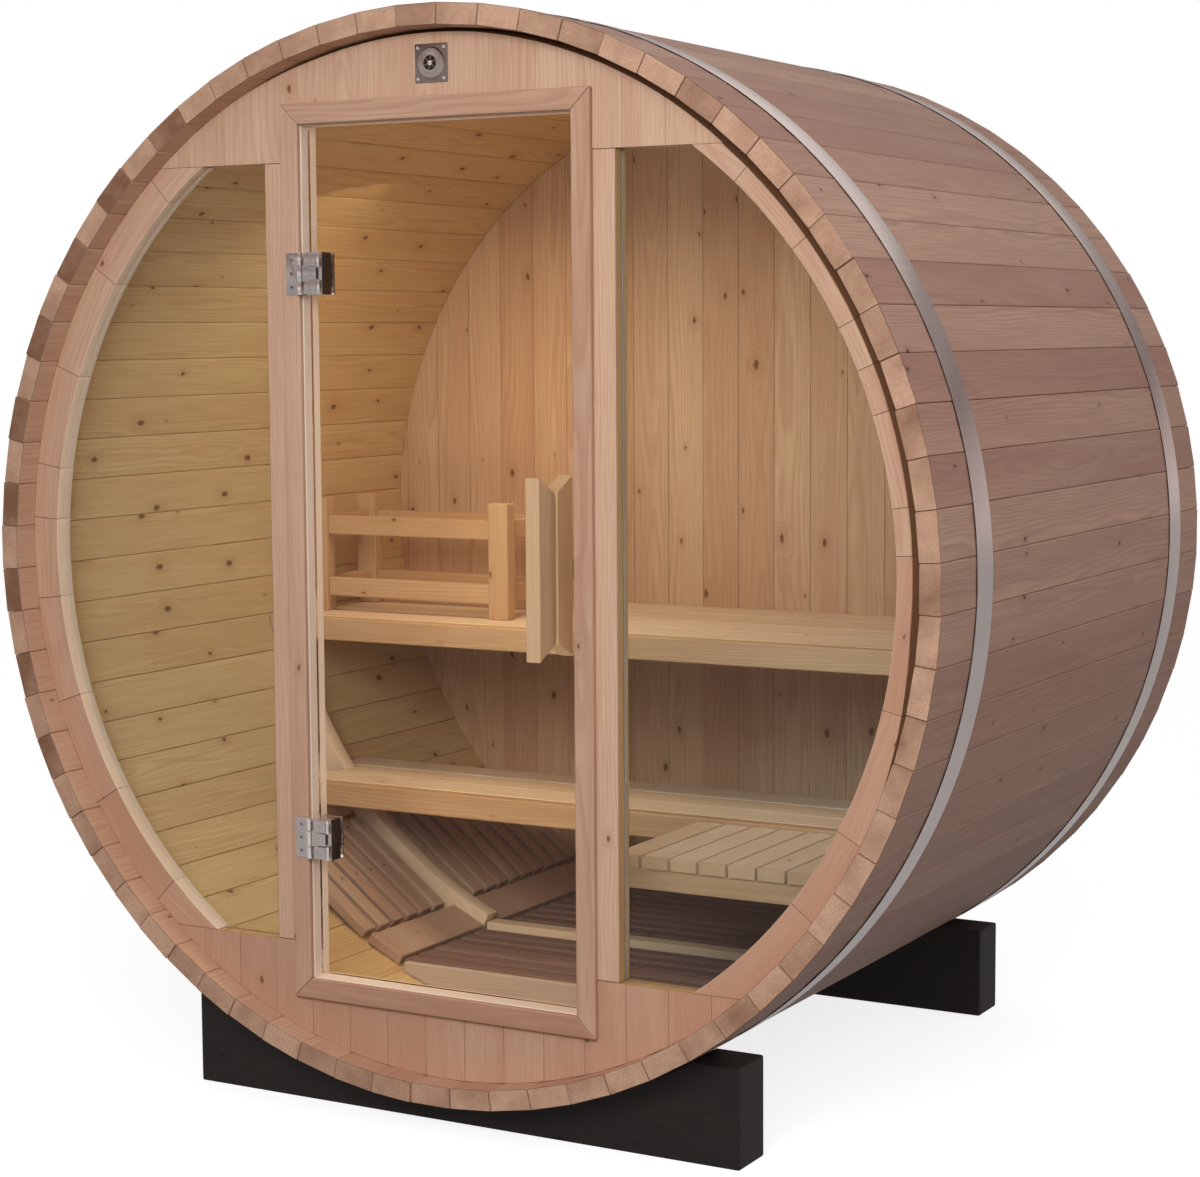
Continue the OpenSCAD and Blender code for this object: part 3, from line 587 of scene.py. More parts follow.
rivet_seat = band_outer - 0.0004
bm = bmesh.new()
for y, seam in ((low.y, 3.0), (high.y - band_width, 0.5)):
    add_band(bm, y, band_width, band_inner, band_inner + band_thickness, 0.0, 2 * math.pi, 288)
    add_band(bm, y + 0.0004, band_width - 0.0008, band_inner + band_thickness - 0.0001, band_outer,
             math.radians(seam + 1), math.radians(-4), 4)
    middle = y + band_width / 2
    for k in range(5):
        rivet = radial(math.radians(seam), rivet_seat, middle + 0.0125 * (k - 2))
        stud(bm, rivet, 0.0026, 0.0016, 0.0010, 12)
    stud(bm, radial(math.radians(25.6), rivet_seat, middle), 0.0028, 0.0018, 0.0010, 12)
    seat = radial(math.radians(225), band_inner + band_thickness, middle)
    for aside in (-0.030, 0.030):
        block(bm, seat @ Matrix.Translation((aside, 0, 0.0065)), (0.006, 0.030, 0.013), 0.001)
    lying = seat @ Matrix.Translation((0, 0, 0.0078)) @ Matrix.Rotation(math.pi / 2, 4, "Y")
    stud(bm, lying, 0.0032, 0.0032, 0.082, 20)
    for along in (-0.0365, 0.0365):
        stud(bm, lying @ Matrix.Translation((0, 0, along)), 0.0058, 0.0058, 0.005, 6)
bmesh.ops.remove_doubles(bm, verts=bm.verts, dist=1e-6)
bmesh.ops.recalc_face_normals(bm, faces=bm.faces)
bm.normal_update()
# The edge of each strip that looks to the front is painted dark: painted shade of the gap where the band
# meets the staves
shaded_edge_width = 0.0016
for f in bm.faces:
    along = [v.co.y for v in f.verts]
    band_front = low.y if min(along) < 0 else high.y - band_width
    if max(along) - min(along) < shaded_edge_width and f.normal.y < 0.4 and min(along) < band_front + 0.0001:
        f.material_index = 1
finish_piece("steel_hoops", bm, [band_steel, band_edge_shade], ["hoops"], smooth=True)

# ---- Front wall ----
# Upright tongued and grooved boards that make the head, the apron and the curved frames of
# the windows, with a post on each side of the doorway. They are held in the staves' croze.
wall_face = wood("wall_board", (0.64, 0.425, 0.30), (0.50, 0.27, 0.175), (0.42, 0.21, 0.125),
                 (0.19, 0.075, 0.035), knots=0.55, contrast=0.26, grime=0.92)
reveal_face = wood("window_reveal", (0.80, 0.60, 0.44), (0.70, 0.50, 0.35), (0.60, 0.40, 0.27),
                   (0.30, 0.14, 0.07), knots=0.2, contrast=0.2)
wall_joint, wall_board = -0.036, 0.0768
joint_chamfer = 0.0018


saw_gap = 0.0003


def sawn_apart(whole, pairs_of_cuts):
    """Saws a solid into boards. Each lies between two planes, given by points and outward normals."""
    sawn = bmesh.new()
    for cuts in pairs_of_cuts:
        part = whole.copy()
        for point, normal in cuts:
            cut = bmesh.ops.bisect_plane(part, geom=[*part.verts, *part.edges, *part.faces], dist=1e-6,
                                         plane_co=point, plane_no=normal, clear_outer=True)["geom_cut"]
            rim = [e for e in cut if isinstance(e, bmesh.types.BMEdge)]
            if rim:
                bmesh.ops.holes_fill(part, edges=rim)
        spare = bpy.data.meshes.new("spare")
        part.to_mesh(spare)
        part.free()
        sawn.from_mesh(spare)
        bpy.data.meshes.remove(spare)
    whole.free()
    return sawn


def upright_boards(node, first, pitch, whole):
    """Saws a copy of the node's solid into upright boards, with one joint at x = first."""
    left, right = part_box(node)[0].x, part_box(node)[1].x
    cuts = [first + pitch * k for k in range(-30, 31)]
    sides = [left - 0.01] + [x for x in cuts if left + 0.004 < x < right - 0.004] + [right + 0.01]
    return sawn_apart(whole, [(((x1 + saw_gap / 2, 0, 0), (-1, 0, 0)), ((x2 - saw_gap / 2, 0, 0), (1, 0, 0)))
                              for x1, x2 in zip(sides, sides[1:])])


def face_front(bm, front=0, rest=1):
    """The first material on faces that look out through the front, the second on the rest."""
    bm.normal_update()
    for f in bm.faces:
        f.material_index = front if f.normal.y < -0.3 else rest


# A rebate runs round the wall's front edge from the top of the head down the right, and its faces are painted
# dark brown: painted shade of the deep gap between the wall and the staves.
rebate_painted_shade = speckled("rebate_painted_shade", (0.095, 0.042, 0.021), (0.160, 0.076, 0.040), 700.0, 3.0,
                      {"Roughness": 0.95, "Specular IOR Level": 0.1}, relief=(0.4, 0.0005))
rebate_depth = 0.018
rebate_widths = ((-38, 0.0), (-5, 0.029), (45, 0.025), (60, 0.016), (85, 0.006), (105, 0.005), (117, 0.0))
rebate_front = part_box("front_wall_right")[0].y
wall_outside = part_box("front_wall_right")[1].x
head_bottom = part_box("front_wall_head")[0].z


def rebate_width(point):
    """How far in from the staves the rebate reaches at a point on the wall."""
    at = math.degrees(math.atan2(point.z - axis_z, point.x))
    for (a1, w1), (a2, w2) in zip(rebate_widths, rebate_widths[1:]):
        width = w1 + (w2 - w1) * (at - a1) / (a2 - a1)
        if a1 <= at < a2:
            return width
    return 0.0


def rebate(bm):
    """Slopes the front outer edge of a copy of the wall back to the rebate's depth."""
    bmesh.ops.bisect_plane(bm, geom=[*bm.verts, *bm.edges, *bm.faces], dist=1e-6,
                           plane_co=(0, rebate_front + rebate_depth, 0), plane_no=(0, 1, 0))
    for v in bm.verts:
        out = math.hypot(v.co.x, v.co.z - axis_z)
        if v.co.y > rebate_front + rebate_depth - 1e-5 or out < wall_outside - 0.004:
            continue
        reach = out - rebate_width(v.co)
        if abs(v.co.z - head_bottom) < 0.0005:
            v.co.x = math.copysign(math.sqrt(reach ** 2 - (v.co.z - axis_z) ** 2), v.co.x)
        else:
            v.co.x *= reach / out
            v.co.z = axis_z + (v.co.z - axis_z) * reach / out


def in_rebate(f):
    """Whether a face lies in the rebate."""
    middle = f.calc_center_median()
    width = rebate_width(middle)
    deep = middle.y - rebate_front
    on_front = deep < 0.0008 and f.normal.y < -0.9
    return (width > 0.002 and math.hypot(middle.x, middle.z - axis_z) > wall_outside - width - 0.0015
            and deep < rebate_depth + 0.001 and not on_front)


def shaded_low_tones(middle):
    """Tones by height, random within a range: pale above the middle of the door and ruddy below it, painted
    shade for the light that falls off down the wall.
    """
    low = min(max((1.35 - middle.z) / 0.9, 0.0), 1.0)
    return 0.75 * low, 0.35 + 0.65 * low


wall_chance = random.Random(5)
for name in ("front_wall_head", "front_wall_apron"):
    whole = sound_copy(name)
    if name == "front_wall_head":
        rebate(whole)
    bm = upright_boards(name, wall_joint, wall_board, whole)
    ease_edges(bm, joint_chamfer)
    # Lower boards get ruddier tones, painted shade
    mark_grain(bm, (0, 0, 1), (0, -1, 0), wall_chance, shaded_low_tones)
    face_front(bm)
    if name == "front_wall_head":
        # The rebate's faces get the painted shade
        for f in filter(in_rebate, bm.faces):
            f.material_index = 2
    finish_piece(name + "_boards", bm, [wall_face, inner_face, rebate_painted_shade], [name])


# The windows' curved frames are rings of short arcs, butted on lines that point to the axis.
def arc_grain(middle):
    """Round the barrel's axis."""
    return Vector((0, 1, 0)).cross(Vector((middle.x, 0, middle.z - axis_z)))


def butt_plane(angle, side):
    """A plane through the barrel's axis at an angle in degrees, half a saw gap inside the arc."""
    normal = side * Vector((-math.sin(math.radians(angle)), 0, math.cos(math.radians(angle))))
    return Vector((0, 0, axis_z)) - normal * saw_gap / 2, normal


ring_butts = {"front_wall_right": [-80, -38, -28, -13.5, 3, 8, 18, 23, 28, 38, 48, 80],
              "front_wall_left": [100, 132, 145, 158, 170, 176.5, 186.3, 199, 212, 226, 260]}
for name, butts in ring_butts.items():
    whole = sound_copy(name)
    if name == "front_wall_right":
        rebate(whole)
    # The groove for the pane is filled level with the arcs, as the pane runs into them
    ring_low, ring_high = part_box(name)
    radius_of = {v: math.hypot(v.co.x, v.co.z - axis_z) for v in whole.verts}
    mouth = min(radius_of.values())
    rows = {}
    for v, out in radius_of.items():
        if ring_low.y + 0.002 < v.co.y < ring_high.y - 0.002 and out < mouth + 0.012:
            rows.setdefault((round(v.co.y, 4), out > mouth + 0.004), []).append(v)
    for (y, sunk), floor in rows.items():
        if sunk:
            edge = sorted(rows[y, False], key=lambda v: v.co.z)
            for v, over in zip(sorted(floor, key=lambda v: v.co.z), edge):
                v.co = over.co
    bmesh.ops.remove_doubles(whole, verts=whole.verts, dist=2e-4)
    ring = sawn_apart(whole, [(butt_plane(a1, -1), butt_plane(a2, 1)) for a1, a2 in zip(butts, butts[1:])])
    ease_edges(ring, 0.0008)
    # Lower arcs get ruddier tones, painted shade
    mark_grain(ring, arc_grain, (0, -1, 0), wall_chance, shaded_low_tones)
    ring.normal_update()
    for f in ring.faces:
        middle = f.calc_center_median()
        f.material_index = int(f.normal.dot(Vector((middle.x, 0, middle.z - axis_z))) < -0.3)
        # The rebate's faces get the painted shade
        if name == "front_wall_right" and in_rebate(f):
            f.material_index = 2
    finish_piece(name + "_arcs", ring, [wall_face, reveal_face, rebate_painted_shade], [name])

for name in ("front_post_left", "front_post_right"):
    bm = sound_copy(name)
    ease_edges(bm, joint_chamfer)
    mark_grain(bm, (0, 0, 1), (0, -1, 0), wall_chance, (0.1, 0.6))
    face_front(bm)
    finish_piece(name + "_board", bm, [wall_face, inner_face], [name])

# ---- Door casing and jambs ----
# A planed softwood architrave mitred at its corners, nailed round the doorway, and jamb
# boards whose paler edges show inside it.
casing_face = wood("casing_board", (0.62, 0.41, 0.29), (0.42, 0.215, 0.138), (0.36, 0.175, 0.105),
                   (0.20, 0.08, 0.04), knots=0.45, contrast=0.36)
jamb_face = wood("jamb_board", (0.86, 0.68, 0.56), (0.78, 0.58, 0.46), (0.68, 0.47, 0.35),
                 (0.30, 0.14, 0.07), knots=0.12, contrast=0.2)
casing_low, casing_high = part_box("casing_head")
sill_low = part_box("casing_sill")[0]
casing_outer = casing_high.x
casing_front = casing_low.y
wall_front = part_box("front_wall_head")[0].y
wall_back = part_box("front_wall_head")[1].y
doorway_half = 0.261
door_middle = (casing_high.z + sill_low.z) / 2
doorway_rise = doorway_half + (casing_high.z - door_middle) - casing_outer
trim_width = 0.035
jamb_step = 0.0112
jamb_overhang = 0.010


def push_forward(bm, outline, thickness):
    """A board made from its back outline."""
    base = bm.faces.new([bm.verts.new(point) for point in outline])
    pushed = bmesh.ops.extrude_face_region(bm, geom=[base])["geom"]
    corners = [v for v in pushed if isinstance(v, bmesh.types.BMVert)]
    bmesh.ops.translate(bm, vec=(0, -thickness, 0), verts=corners)
    bmesh.ops.recalc_face_normals(bm, faces=bm.faces)


def mitred(bm, side, outer, inner, front, back):
    """One side of a mitred frame round the doorway, cut to a front and a back."""
    half = {"left": -1, "right": 1, "head": 1, "sill": -1}[side]
    (x1, z1), (x2, z2) = inner, outer
    if side in ("left", "right"):
        line = [(half * x1, -z1), (half * x2, -z2), (half * x2, z2), (half * x1, z1)]
    else:
        line = [(-x1, half * z1), (-x2, half * z2), (x2, half * z2), (x1, half * z1)]
    push_forward(bm, [(x, back, door_middle + z) for x, z in line], back - front)


casing_chance = random.Random(8)
trim_tones = {"left": (0.1, 0.3), "right": (0.3, 0.6), "head": (0.3, 0.5), "sill": (0.95, 1.0)}
for side in ("left", "right", "head", "sill"):
    grain = (0, 0, 1) if side in ("left", "right") else (1, 0, 0)
    trim = bmesh.new()
    mitred(trim, side, (casing_outer, casing_high.z - door_middle),
           (casing_outer - trim_width, casing_high.z - door_middle - trim_width),
           casing_front, wall_front - 0.0003)
    ease_edges(trim, 0.0026, segments=3)
    mark_grain(trim, grain, (0, -1, 0), casing_chance, trim_tones[side])
    finish_piece("casing_" + side + "_trim", trim, [casing_face], ["casing_" + side])
    jamb = bmesh.new()
    mitred(jamb, side, (doorway_half + 0.018, doorway_rise + 0.018), (doorway_half, doorway_rise),
           casing_front + jamb_step, wall_back + jamb_overhang)
    ease_edges(jamb, 0.0012)
    mark_grain(jamb, grain, (0, -1, 0), casing_chance, (0.0, 0.6))
    finish_piece("jamb_" + side, jamb, [jamb_face])

# ---- Windows ----
# Panes of clear float glass let into a groove round each window. They are fixed and have
# no joint.
def pane(name, tint):
    """Clear glass that also lets the lamps through to the cabin."""
    material, out = new_material(name)
    tree = material.node_tree
    where = wire(tree, "TexCoord")
    wave = wire(tree, "TexNoise", {"Vector": where.outputs["Object"], "Scale": 1.6, "Detail": 1.0})
    raised = wire(tree, "Bump", {"Strength": 0.02, "Distance": 0.002, "Height": wave.outputs["Fac"]})
    clear = wire(tree, "BsdfPrincipled", {"Base Color": (*tint, 1), "Roughness": 0.0, "IOR": 1.16,
                                          "Transmission Weight": 1.0, "Specular IOR Level": 0.2,
                                          "Normal": raised.outputs[0]})
    open_air = wire(tree, "BsdfTransparent", {"Color": (*tint, 1)})
    path = wire(tree, "LightPath")
    either = wire(tree, "MixShader", {0: path.outputs["Is Shadow Ray"], 1: clear.outputs[0],
                                      2: open_air.outputs[0]})
    tree.links.new(either.outputs[0], out.inputs["Surface"])
    return material


window_pane = pane("window_pane", (0.84, 0.925, 0.98))
groove, thinned = 0.004, 0.35
for name in ("window_glass_left", "window_glass_right"):
    bm = sound_copy(name)
    low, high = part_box(name)
    for v in bm.verts:
        v.co.x += math.copysign(groove, v.co.x - (low.x + high.x) / 2)
        v.co.z += math.copysign(groove, v.co.z - axis_z)
        v.co.y = (low.y + high.y) / 2 + (v.co.y - (low.y + high.y) / 2) * thinned
    finish_piece(name + "_pane", bm, [window_pane], [name])

# ---- Back wall ----
# Upright tongued and grooved pine boards with sound knots, held in the staves' croze.
back_pine = wood("back_wall_pine", (0.60, 0.375, 0.215), (0.50, 0.27, 0.145), (0.37, 0.175, 0.08),
                 (0.16, 0.062, 0.022), knots=0.95, contrast=0.34, grime=0.95)
back_joint, back_board = 0.045, 0.0808
back_chance = random.Random(21)
bm = upright_boards("back_wall", back_joint, back_board, sound_copy("back_wall"))
ease_edges(bm, 0.0022)
mark_grain(bm, (0, 0, 1), (0, -1, 0), back_chance)
bm.normal_update()
for f in bm.faces:
    f.material_index = 1 if f.normal.y > 0.3 else 0
finish_piece("back_wall_boards", bm, [back_pine, outer_face], ["back_wall"])

# ---- Vent ----
# A square stainless plate with a screw in each corner, and a dished disc round a hub with
# air holes. It is screwed to the head of the front wall.
vent_steel = steel("vent_plate_steel", (0.36, 0.29, 0.265), 0.36, (1.0, 1.0, 30.0))
disc_steel = steel("vent_disc_steel", (0.56, 0.48, 0.445), 0.30, (1.0, 1.0, 30.0))
bright_steel = steel("bright_steel", (0.95, 0.90, 0.87), 0.20, (1.0, 1.0, 1.0))
# Near black: painted shade for the dark duct seen through the disc's air holes
air_hole_shade = speckled("air_hole_painted_shade", (0.012, 0.008, 0.006), (0.045, 0.028, 0.02), 90.0, 2.0,
                     {"Roughness": 0.8})
low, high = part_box("vent")
vent_middle = Vector(((low.x + high.x) / 2, high.y, (low.z + high.z) / 2))
plate_half = (high.x - low.x) / 2


def turned(bm, profile, place, segments=40, metal=0, dark=None):
    """Turns a profile of (radius, height) pairs about its own Z and puts it in place."""
    line = [bm.verts.new((r, 0, h)) for r, h in profile]
    edges = [bm.edges.new(pair) for pair in zip(line, line[1:])]
    before = set(bm.faces)
    bmesh.ops.spin(bm, geom=[*line, *edges], cent=(0, 0, 0), axis=(0, 0, 1), angle=2 * math.pi,
                   steps=segments, use_merge=True, use_duplicate=False)
    faces = [f for f in bm.faces if f not in before]
    verts = list({v for f in faces for v in f.verts})
    bmesh.ops.remove_doubles(bm, verts=verts, dist=1e-6)
    faces = [f for f in faces if f.is_valid]
    for f in faces:
        f.material_index = metal
    # Faces in the given band get the second material, painted shade
    if dark:
        for f in faces:
            middle = f.calc_center_median()
            if dark[0] < middle.xy.length < dark[1] and middle.z < dark[2]:
                f.material_index = 1
    bmesh.ops.recalc_face_normals(bm, faces=faces)
    bmesh.ops.transform(bm, matrix=place, verts=list({v for f in faces for v in f.verts}))


outward = Matrix.Rotation(math.pi / 2, 4, "X")
bm = bmesh.new()
plate_middle = Matrix.Translation(vent_middle - Vector((0, 0.001, 0)))
block(bm, plate_middle, (2 * plate_half, 0.002, 2 * plate_half), 0.0009)
disc = [(0.0001, 0.0068), (0.0030, 0.0066), (0.0046, 0.0056), (0.0050, 0.0030), (0.0118, 0.0030),
        (0.0122, 0.0058), (0.0134, 0.0062), (0.0150, 0.0056), (0.0236, 0.0048), (0.0256, 0.0030),
        (0.0262, 0.0015), (0.0001, 0.0015)]
# The recessed ring round the hub is painted near black as shade in the air holes
turned(bm, disc, Matrix.Translation(vent_middle) @ outward, 40, metal=2, dark=(0.0048, 0.0124, 0.0040))
hub = [(0.0001, 0.0071), (0.0028, 0.0069), (0.0042, 0.0058), (0.0043, 0.0050), (0.0001, 0.0050)]
turned(bm, hub, Matrix.Translation(vent_middle) @ outward, 20, metal=3)
for k in range(6):
    spoke = Matrix.Translation(vent_middle) @ outward @ Matrix.Rotation(math.radians(60 * k + 20), 4, "Z")
    block(bm, spoke @ Matrix.Translation((0.0084, 0, 0.0044)), (0.0076, 0.0016, 0.002))
screw = [(0.0001, 0.0006), (0.0010, 0.0006), (0.0011, 0.0012), (0.0026, 0.0012), (0.0032, 0.0004),
         (0.0032, 0.0)]
for x in (-1, 1):
    for z in (-1, 1):
        corner = vent_middle + Vector((x * (plate_half - 0.0062), -0.002, z * (plate_half - 0.0062)))
        turned(bm, screw, Matrix.Translation(corner) @ outward, 14, metal=3)
finish_piece("vent_cover", bm, [vent_steel, air_hole_shade, disc_steel, bright_steel],
             ["vent"], smooth=True)

# ---- Benches, ribs and cleats ----
# Planed pine boards laid across the barrel and scribed to the staves, with a board on edge
# along each front. Curved ribs, a tie, cleats and a ledger carry them.
bench_pine = wood("bench_pine", (0.79, 0.59, 0.405), (0.69, 0.48, 0.31), (0.56, 0.36, 0.21),
                  (0.24, 0.10, 0.04), knots=0.4, contrast=0.32)
fascia_pine = wood("fascia_pine", (0.58, 0.36, 0.19), (0.48, 0.265, 0.125), (0.39, 0.20, 0.085),
                   (0.20, 0.085, 0.033), knots=0.45, contrast=0.4)
bench_chance = random.Random(33)
for name, grain, face, material, edge in (
        ("upper_bench", (1, 0, 0), (0, 0, 1), bench_pine, 0.0022),
        ("lower_bench", (1, 0, 0), (0, 0, 1), bench_pine, 0.0022),
        ("upper_bench_fascia", (1, 0, 0), (0, -1, 0), fascia_pine, 0.003),
        ("lower_bench_fascia", (1, 0, 0), (0, -1, 0), fascia_pine, 0.003),
        ("rib_tie", (1, 0, 0), (0, 0, 1), bench_pine, 0.0015),
        ("bench_cleats", (0, 1, 0), (0, 0, 1), fascia_pine, 0.0015),
        ("rib_left", arc_grain, (0, 1, 0), bench_pine, 0.0015),
        ("rib_right", arc_grain, (0, 1, 0), bench_pine, 0.0015),
        ("side_bench_slats", (0, 1, 0), (0, 0, 1), bench_pine, 0.0022),
        ("side_bench_frame", (1, 0, 0), (0, -1, 0), fascia_pine, 0.0015),
        ("guard_posts", (0, 0, 1), (0, -1, 0), fascia_pine, 0.0022),
        ("guard_rails", (1, 0, 0), (0, -1, 0), fascia_pine, 0.0020)):
    bm = sound_copy(name)
    ease_edges(bm, edge)
    mark_grain(bm, grain, face, bench_chance, (0.0, 0.9))
    if name == "side_bench_slats":
        face_front(bm, front=1, rest=0)
    finish_piece(name + "_pine", bm, [material, fascia_pine], [name])

# ---- Duckboard floor ----
# Level slats on bearers in the middle, and slats that climb the staves at each side, with
# rounded ends and a board along the bend.
duck_pine = wood("duckboard_pine", (0.53, 0.35, 0.235), (0.42, 0.245, 0.165), (0.31, 0.165, 0.105),
                 (0.14, 0.06, 0.03), knots=0.3, contrast=0.45)
# Dark screw heads; on the hinges the same steel paints shade in the screws' slots
dark_screw_and_slot_shade = steel("dark_screw_and_slot_shade", (0.10, 0.07, 0.055), 0.5, (1.0, 1.0, 1.0))
# The level slats in the middle are painted dark, as the shade under the benches
shaded_duck_pine = wood("duckboard_pine_painted_shade", (0.24, 0.135, 0.10), (0.18, 0.095, 0.07), (0.14, 0.07, 0.05),
                 (0.12, 0.05, 0.03), knots=0.3, contrast=0.45)
duck_chance = random.Random(48)
level_half = 0.3


def uphill(middle):
    """Along a slat: level in the middle of the floor, and round the barrel at its sides."""
    return Vector((1, 0, 0)) if abs(middle.x) < level_half else arc_grain(middle)


def duck_face(middle):
    """Out of a slat's top: up in the middle of the floor, and to the axis at its sides."""
    return Vector((0, 0, 1)) if abs(middle.x) < level_half else Vector((-middle.x, 0, axis_z - middle.z))


screw_radius, screw_rise = 0.0032, 0.0006
for name in ("duckboard_centre", "duckboard_left", "duckboard_right"):
    bm = sound_copy(name)
    heads = []
    for verts in pieces_of(bm):
        middle = middle_of(verts)
        along, out = uphill(middle).normalized(), duck_face(middle).normalized()
        reach = [(v.co - middle).dot(along) for v in verts]
        deep = max((v.co - middle).dot(out) for v in verts)
        if max(v.co.y for v in verts) - min(v.co.y for v in verts) < 0.05 and name != "duckboard_centre":
            for share in (0.0, 0.86):
                side = share * (max(reach) if middle.x < 0 else min(reach))
                heads.append((middle + along * side + out * deep, out))
    ease_edges(bm, 0.003, segments=2)
    mark_grain(bm, uphill, duck_face, duck_chance)
    slat_faces = set(bm.faces)
    for place, out in heads:
        stud(bm, Matrix.Translation(place) @ out.to_track_quat("Z", "Y").to_matrix().to_4x4(),
             screw_radius, 0.7 * screw_radius, 2 * screw_rise, 10)
    for f in bm.faces:
        f.material_index = int(f not in slat_faces)
    # Painted shade darkens the level slats in the middle
    material = shaded_duck_pine if name == "duckboard_centre" else duck_pine
    finish_piece(name + "_slats", bm, [material, dark_screw_and_slot_shade], [name])

# A board closes the front of the level floor down to the staves
floor_board = wood("floor_front_pine", (0.53, 0.40, 0.31), (0.46, 0.33, 0.24), (0.38, 0.25, 0.17),
                   (0.20, 0.09, 0.05), knots=0.3, contrast=0.35)
floor_low, floor_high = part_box("duckboard_centre")
board_thickness, board_half = 0.012, (floor_high.x - floor_low.x) / 2 - 0.006
reach = barrel_radius - stave_thickness - 0.001
line = []
for k in range(-6, 7):
    x = board_half * k / 6
    line.append((x, axis_z - math.sqrt(reach ** 2 - x ** 2)))
line += [(board_half, floor_high.z - 0.003), (-board_half, floor_high.z - 0.003)]
bm = bmesh.new()
push_forward(bm, [(x, floor_low.y - 0.0004, z) for x, z in line], board_thickness)
ease_edges(bm, 0.002)
mark_grain(bm, (1, 0, 0), (0, -1, 0), duck_chance, (0.0, 0.2))
finish_piece("floor_front_board", bm, [floor_board])

# ---- Door ----
# A frameless pane of toughened glass with polished edges, hung on two stainless hinges that
# clamp its left edge, with a pine board on edge for a handle on each side.
door_pane = pane("door_pane", (0.985, 0.99, 0.96))
bm = sound_copy("door_glass")
ease_edges(bm, 0.0008)
finish_piece("door_glass_pane", bm, [door_pane], ["door_glass"], body="door")

hinge_steel = steel("hinge_steel", (0.66, 0.60, 0.58), 0.26, (1.0, 1.0, 20.0))
polished_steel = steel("polished_hinge_steel", (0.95, 0.90, 0.88), 0.13, (1.0, 1.0, 6.0))
# A near-black steel that paints shade on the clamps' right sides
clamp_side_shade = steel("hinge_side_painted_shade", (0.17, 0.145, 0.135), 0.5, (1.0, 1.0, 6.0))


def plate(bm, left, right, bottom, top, front, thickness, metal):
    """A small plate with rounded edges that stands on a face that looks out to the front."""
    middle = ((left + right) / 2, front + thickness / 2, (bottom + top) / 2)
    block(bm, Matrix.Translation(middle), (right - left, thickness, top - bottom), 0.0005, metal)


def round_metal(bm, knuckle, radius, metal):
    """Gives the faces round the hinge's pin their own metal."""
    for f in bm.faces:
        middle = f.calc_center_median()
        if math.hypot(middle.x - knuckle.x, middle.y - knuckle.y) < radius:
            f.material_index = metal


leaf_low, leaf_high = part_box("hinge_leaves")
clamp_low, clamp_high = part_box("hinge_clamps")
knuckle_radius = 0.005
knuckle = Vector((leaf_high.x - knuckle_radius, leaf_low.y + knuckle_radius, 0))
hinge_half = 0.035
hinge_heights = (leaf_low.z + hinge_half, leaf_high.z - hinge_half)
leaf_front = knuckle.y + knuckle_radius - 0.0023
countersunk = [(0.0001, 0.0002), (0.0012, 0.0002), (0.0014, 0.0012), (0.0036, 0.0010), (0.0042, 0.0001)]

bm = sound_copy("hinge_leaves")
ease_edges(bm, 0.0008)
round_metal(bm, knuckle, knuckle_radius + 0.0004, 1)
leaf_middle = (leaf_low.x + knuckle.x - knuckle_radius) / 2 - 0.001
for z in hinge_heights:
    for k in (-1, 0, 1):
        hole = Matrix.Translation((leaf_middle, leaf_front, z + 0.0225 * k)) @ outward
        turned(bm, countersunk, hole, 14)
        # A dark cross on each screw head is painted shade in its slots
        slot = hole @ Matrix.Rotation(0.6 + k, 4, "Z") @ Matrix.Translation((0, 0, 0.0011))
        for turn_by in (0, math.pi / 2):
            block(bm, slot @ Matrix.Rotation(turn_by, 4, "Z"), (0.0052, 0.0013, 0.0006), metal=2)
finish_piece("hinge_leaves_steel", bm, [hinge_steel, polished_steel, dark_screw_and_slot_shade],
             ["hinge_leaves"], smooth=True)

bm = sound_copy("hinge_clamps")
ease_edges(bm, 0.0008)
round_metal(bm, knuckle, knuckle_radius + 0.0004, 1)
bm.normal_update()
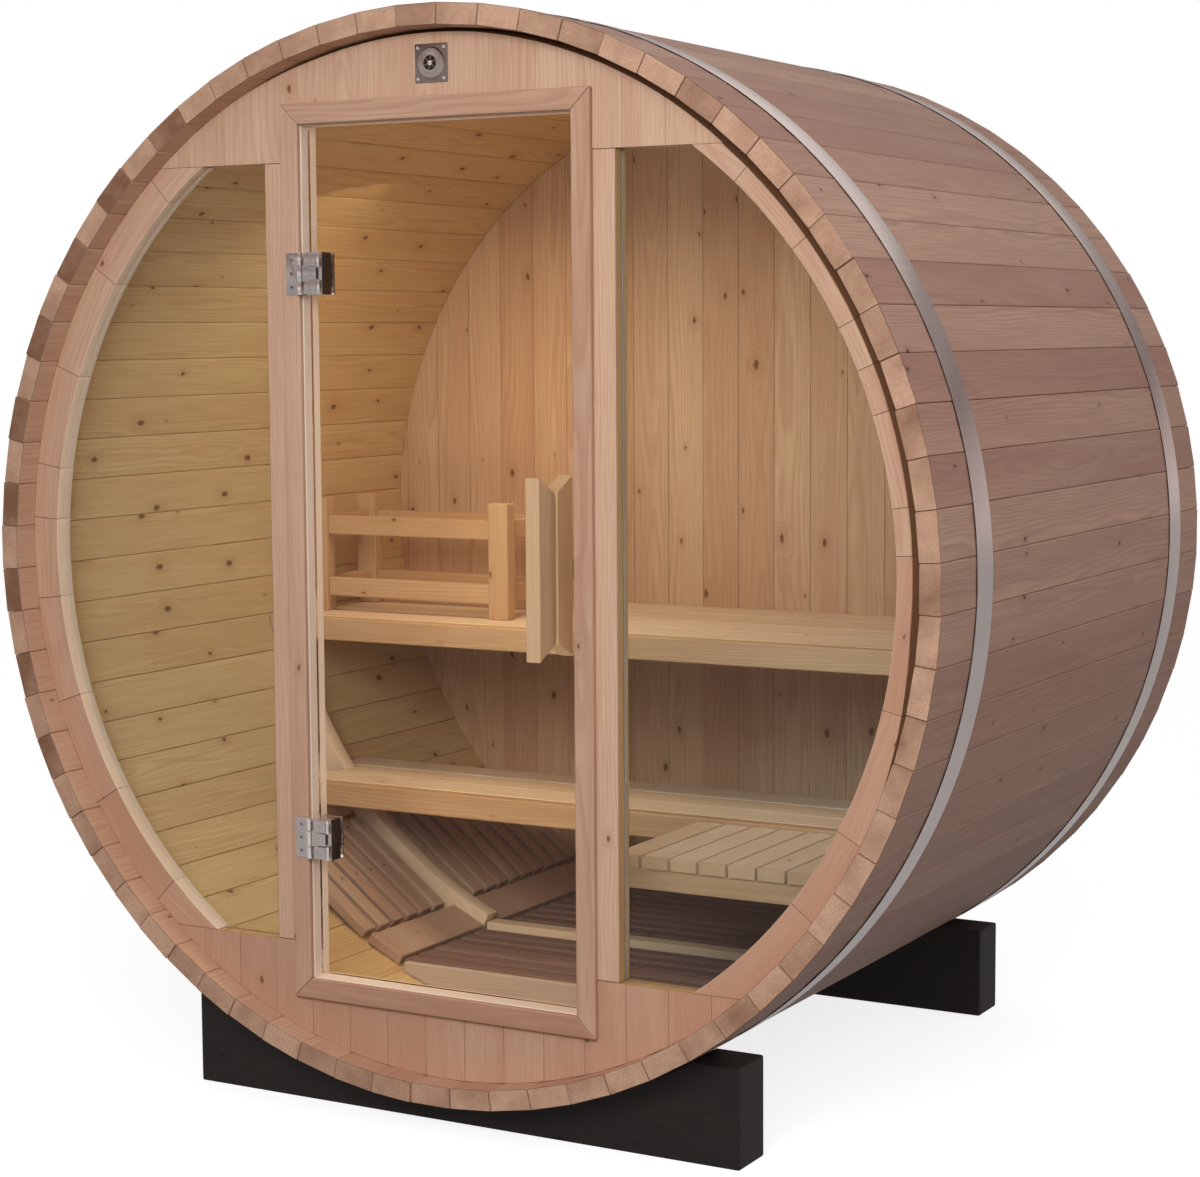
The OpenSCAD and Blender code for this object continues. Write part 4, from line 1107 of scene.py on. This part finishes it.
# The clamps' right sides are painted dark, as shade
for f in bm.faces:
    if f.normal.x > 0.6 and f.calc_center_median().x > clamp_high.x - 0.002:
        f.material_index = 2
plates_left, plates_right = knuckle.x + 0.012, clamp_high.x - 0.0085
plate_front = clamp_low.y - 0.0007
for z in hinge_heights:
    for k in (-1, 0, 1):
        at = z + 0.0228 * k
        plate(bm, plates_left, plates_right, at - 0.0106, at + 0.0106, plate_front, 0.0012, 0)
        if z > door_middle or k:
            screw_place = ((plates_left + plates_right) / 2 + 0.002 * k, plate_front, at)
            turned(bm, countersunk, Matrix.Translation(screw_place) @ outward, 14)
    for k in (-1, 1):
        at = z + 0.0225 * k
        plate(bm, clamp_high.x - 0.0072, clamp_high.x - 0.0014, at - 0.0115, at + 0.0115,
              clamp_low.y - 0.0012, 0.0016, 1)
finish_piece("hinge_clamps_steel", bm, [hinge_steel, polished_steel, clamp_side_shade],
             ["hinge_clamps"], body="door", smooth=True)

handle_pine = wood("handle_pine", (0.66, 0.44, 0.265), (0.58, 0.36, 0.20), (0.48, 0.27, 0.14),
                   (0.24, 0.10, 0.04), knots=0.3, contrast=0.35)
handle_chance = random.Random(3)
for name in ("handle_outer", "handle_inner"):
    bm = sound_copy(name)
    ease_edges(bm, 0.0018, segments=3)
    mark_grain(bm, (0, 0, 1), (1, 0, 0), handle_chance, (0.0, 0.5))
    finish_piece(name + "_pine", bm, [handle_pine], [name], body="door")

# ---- Roller catch ----
# A black plastic housing on the right jamb, with a sprung roller that holds the door shut.
black_plastic = speckled("black_plastic", (0.010, 0.009, 0.009), (0.022, 0.019, 0.018), 900.0, 2.0,
                         {"Roughness": 0.42}, relief=(0.2, 0.0002))
bm = sound_copy("roller_catch")
ease_edges(bm, 0.003, segments=3)
catch_low, catch_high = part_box("roller_catch")
roller = Matrix.Translation((catch_low.x + 0.007, catch_low.y + 0.001, (catch_low.z + catch_high.z) / 2))
for f in reached(stud(bm, roller, 0.005, 0.005, 0.016, 24)):
    f.material_index = 1
finish_piece("roller_catch_housing", bm, [black_plastic, hinge_steel], ["roller_catch"],
             smooth=True)
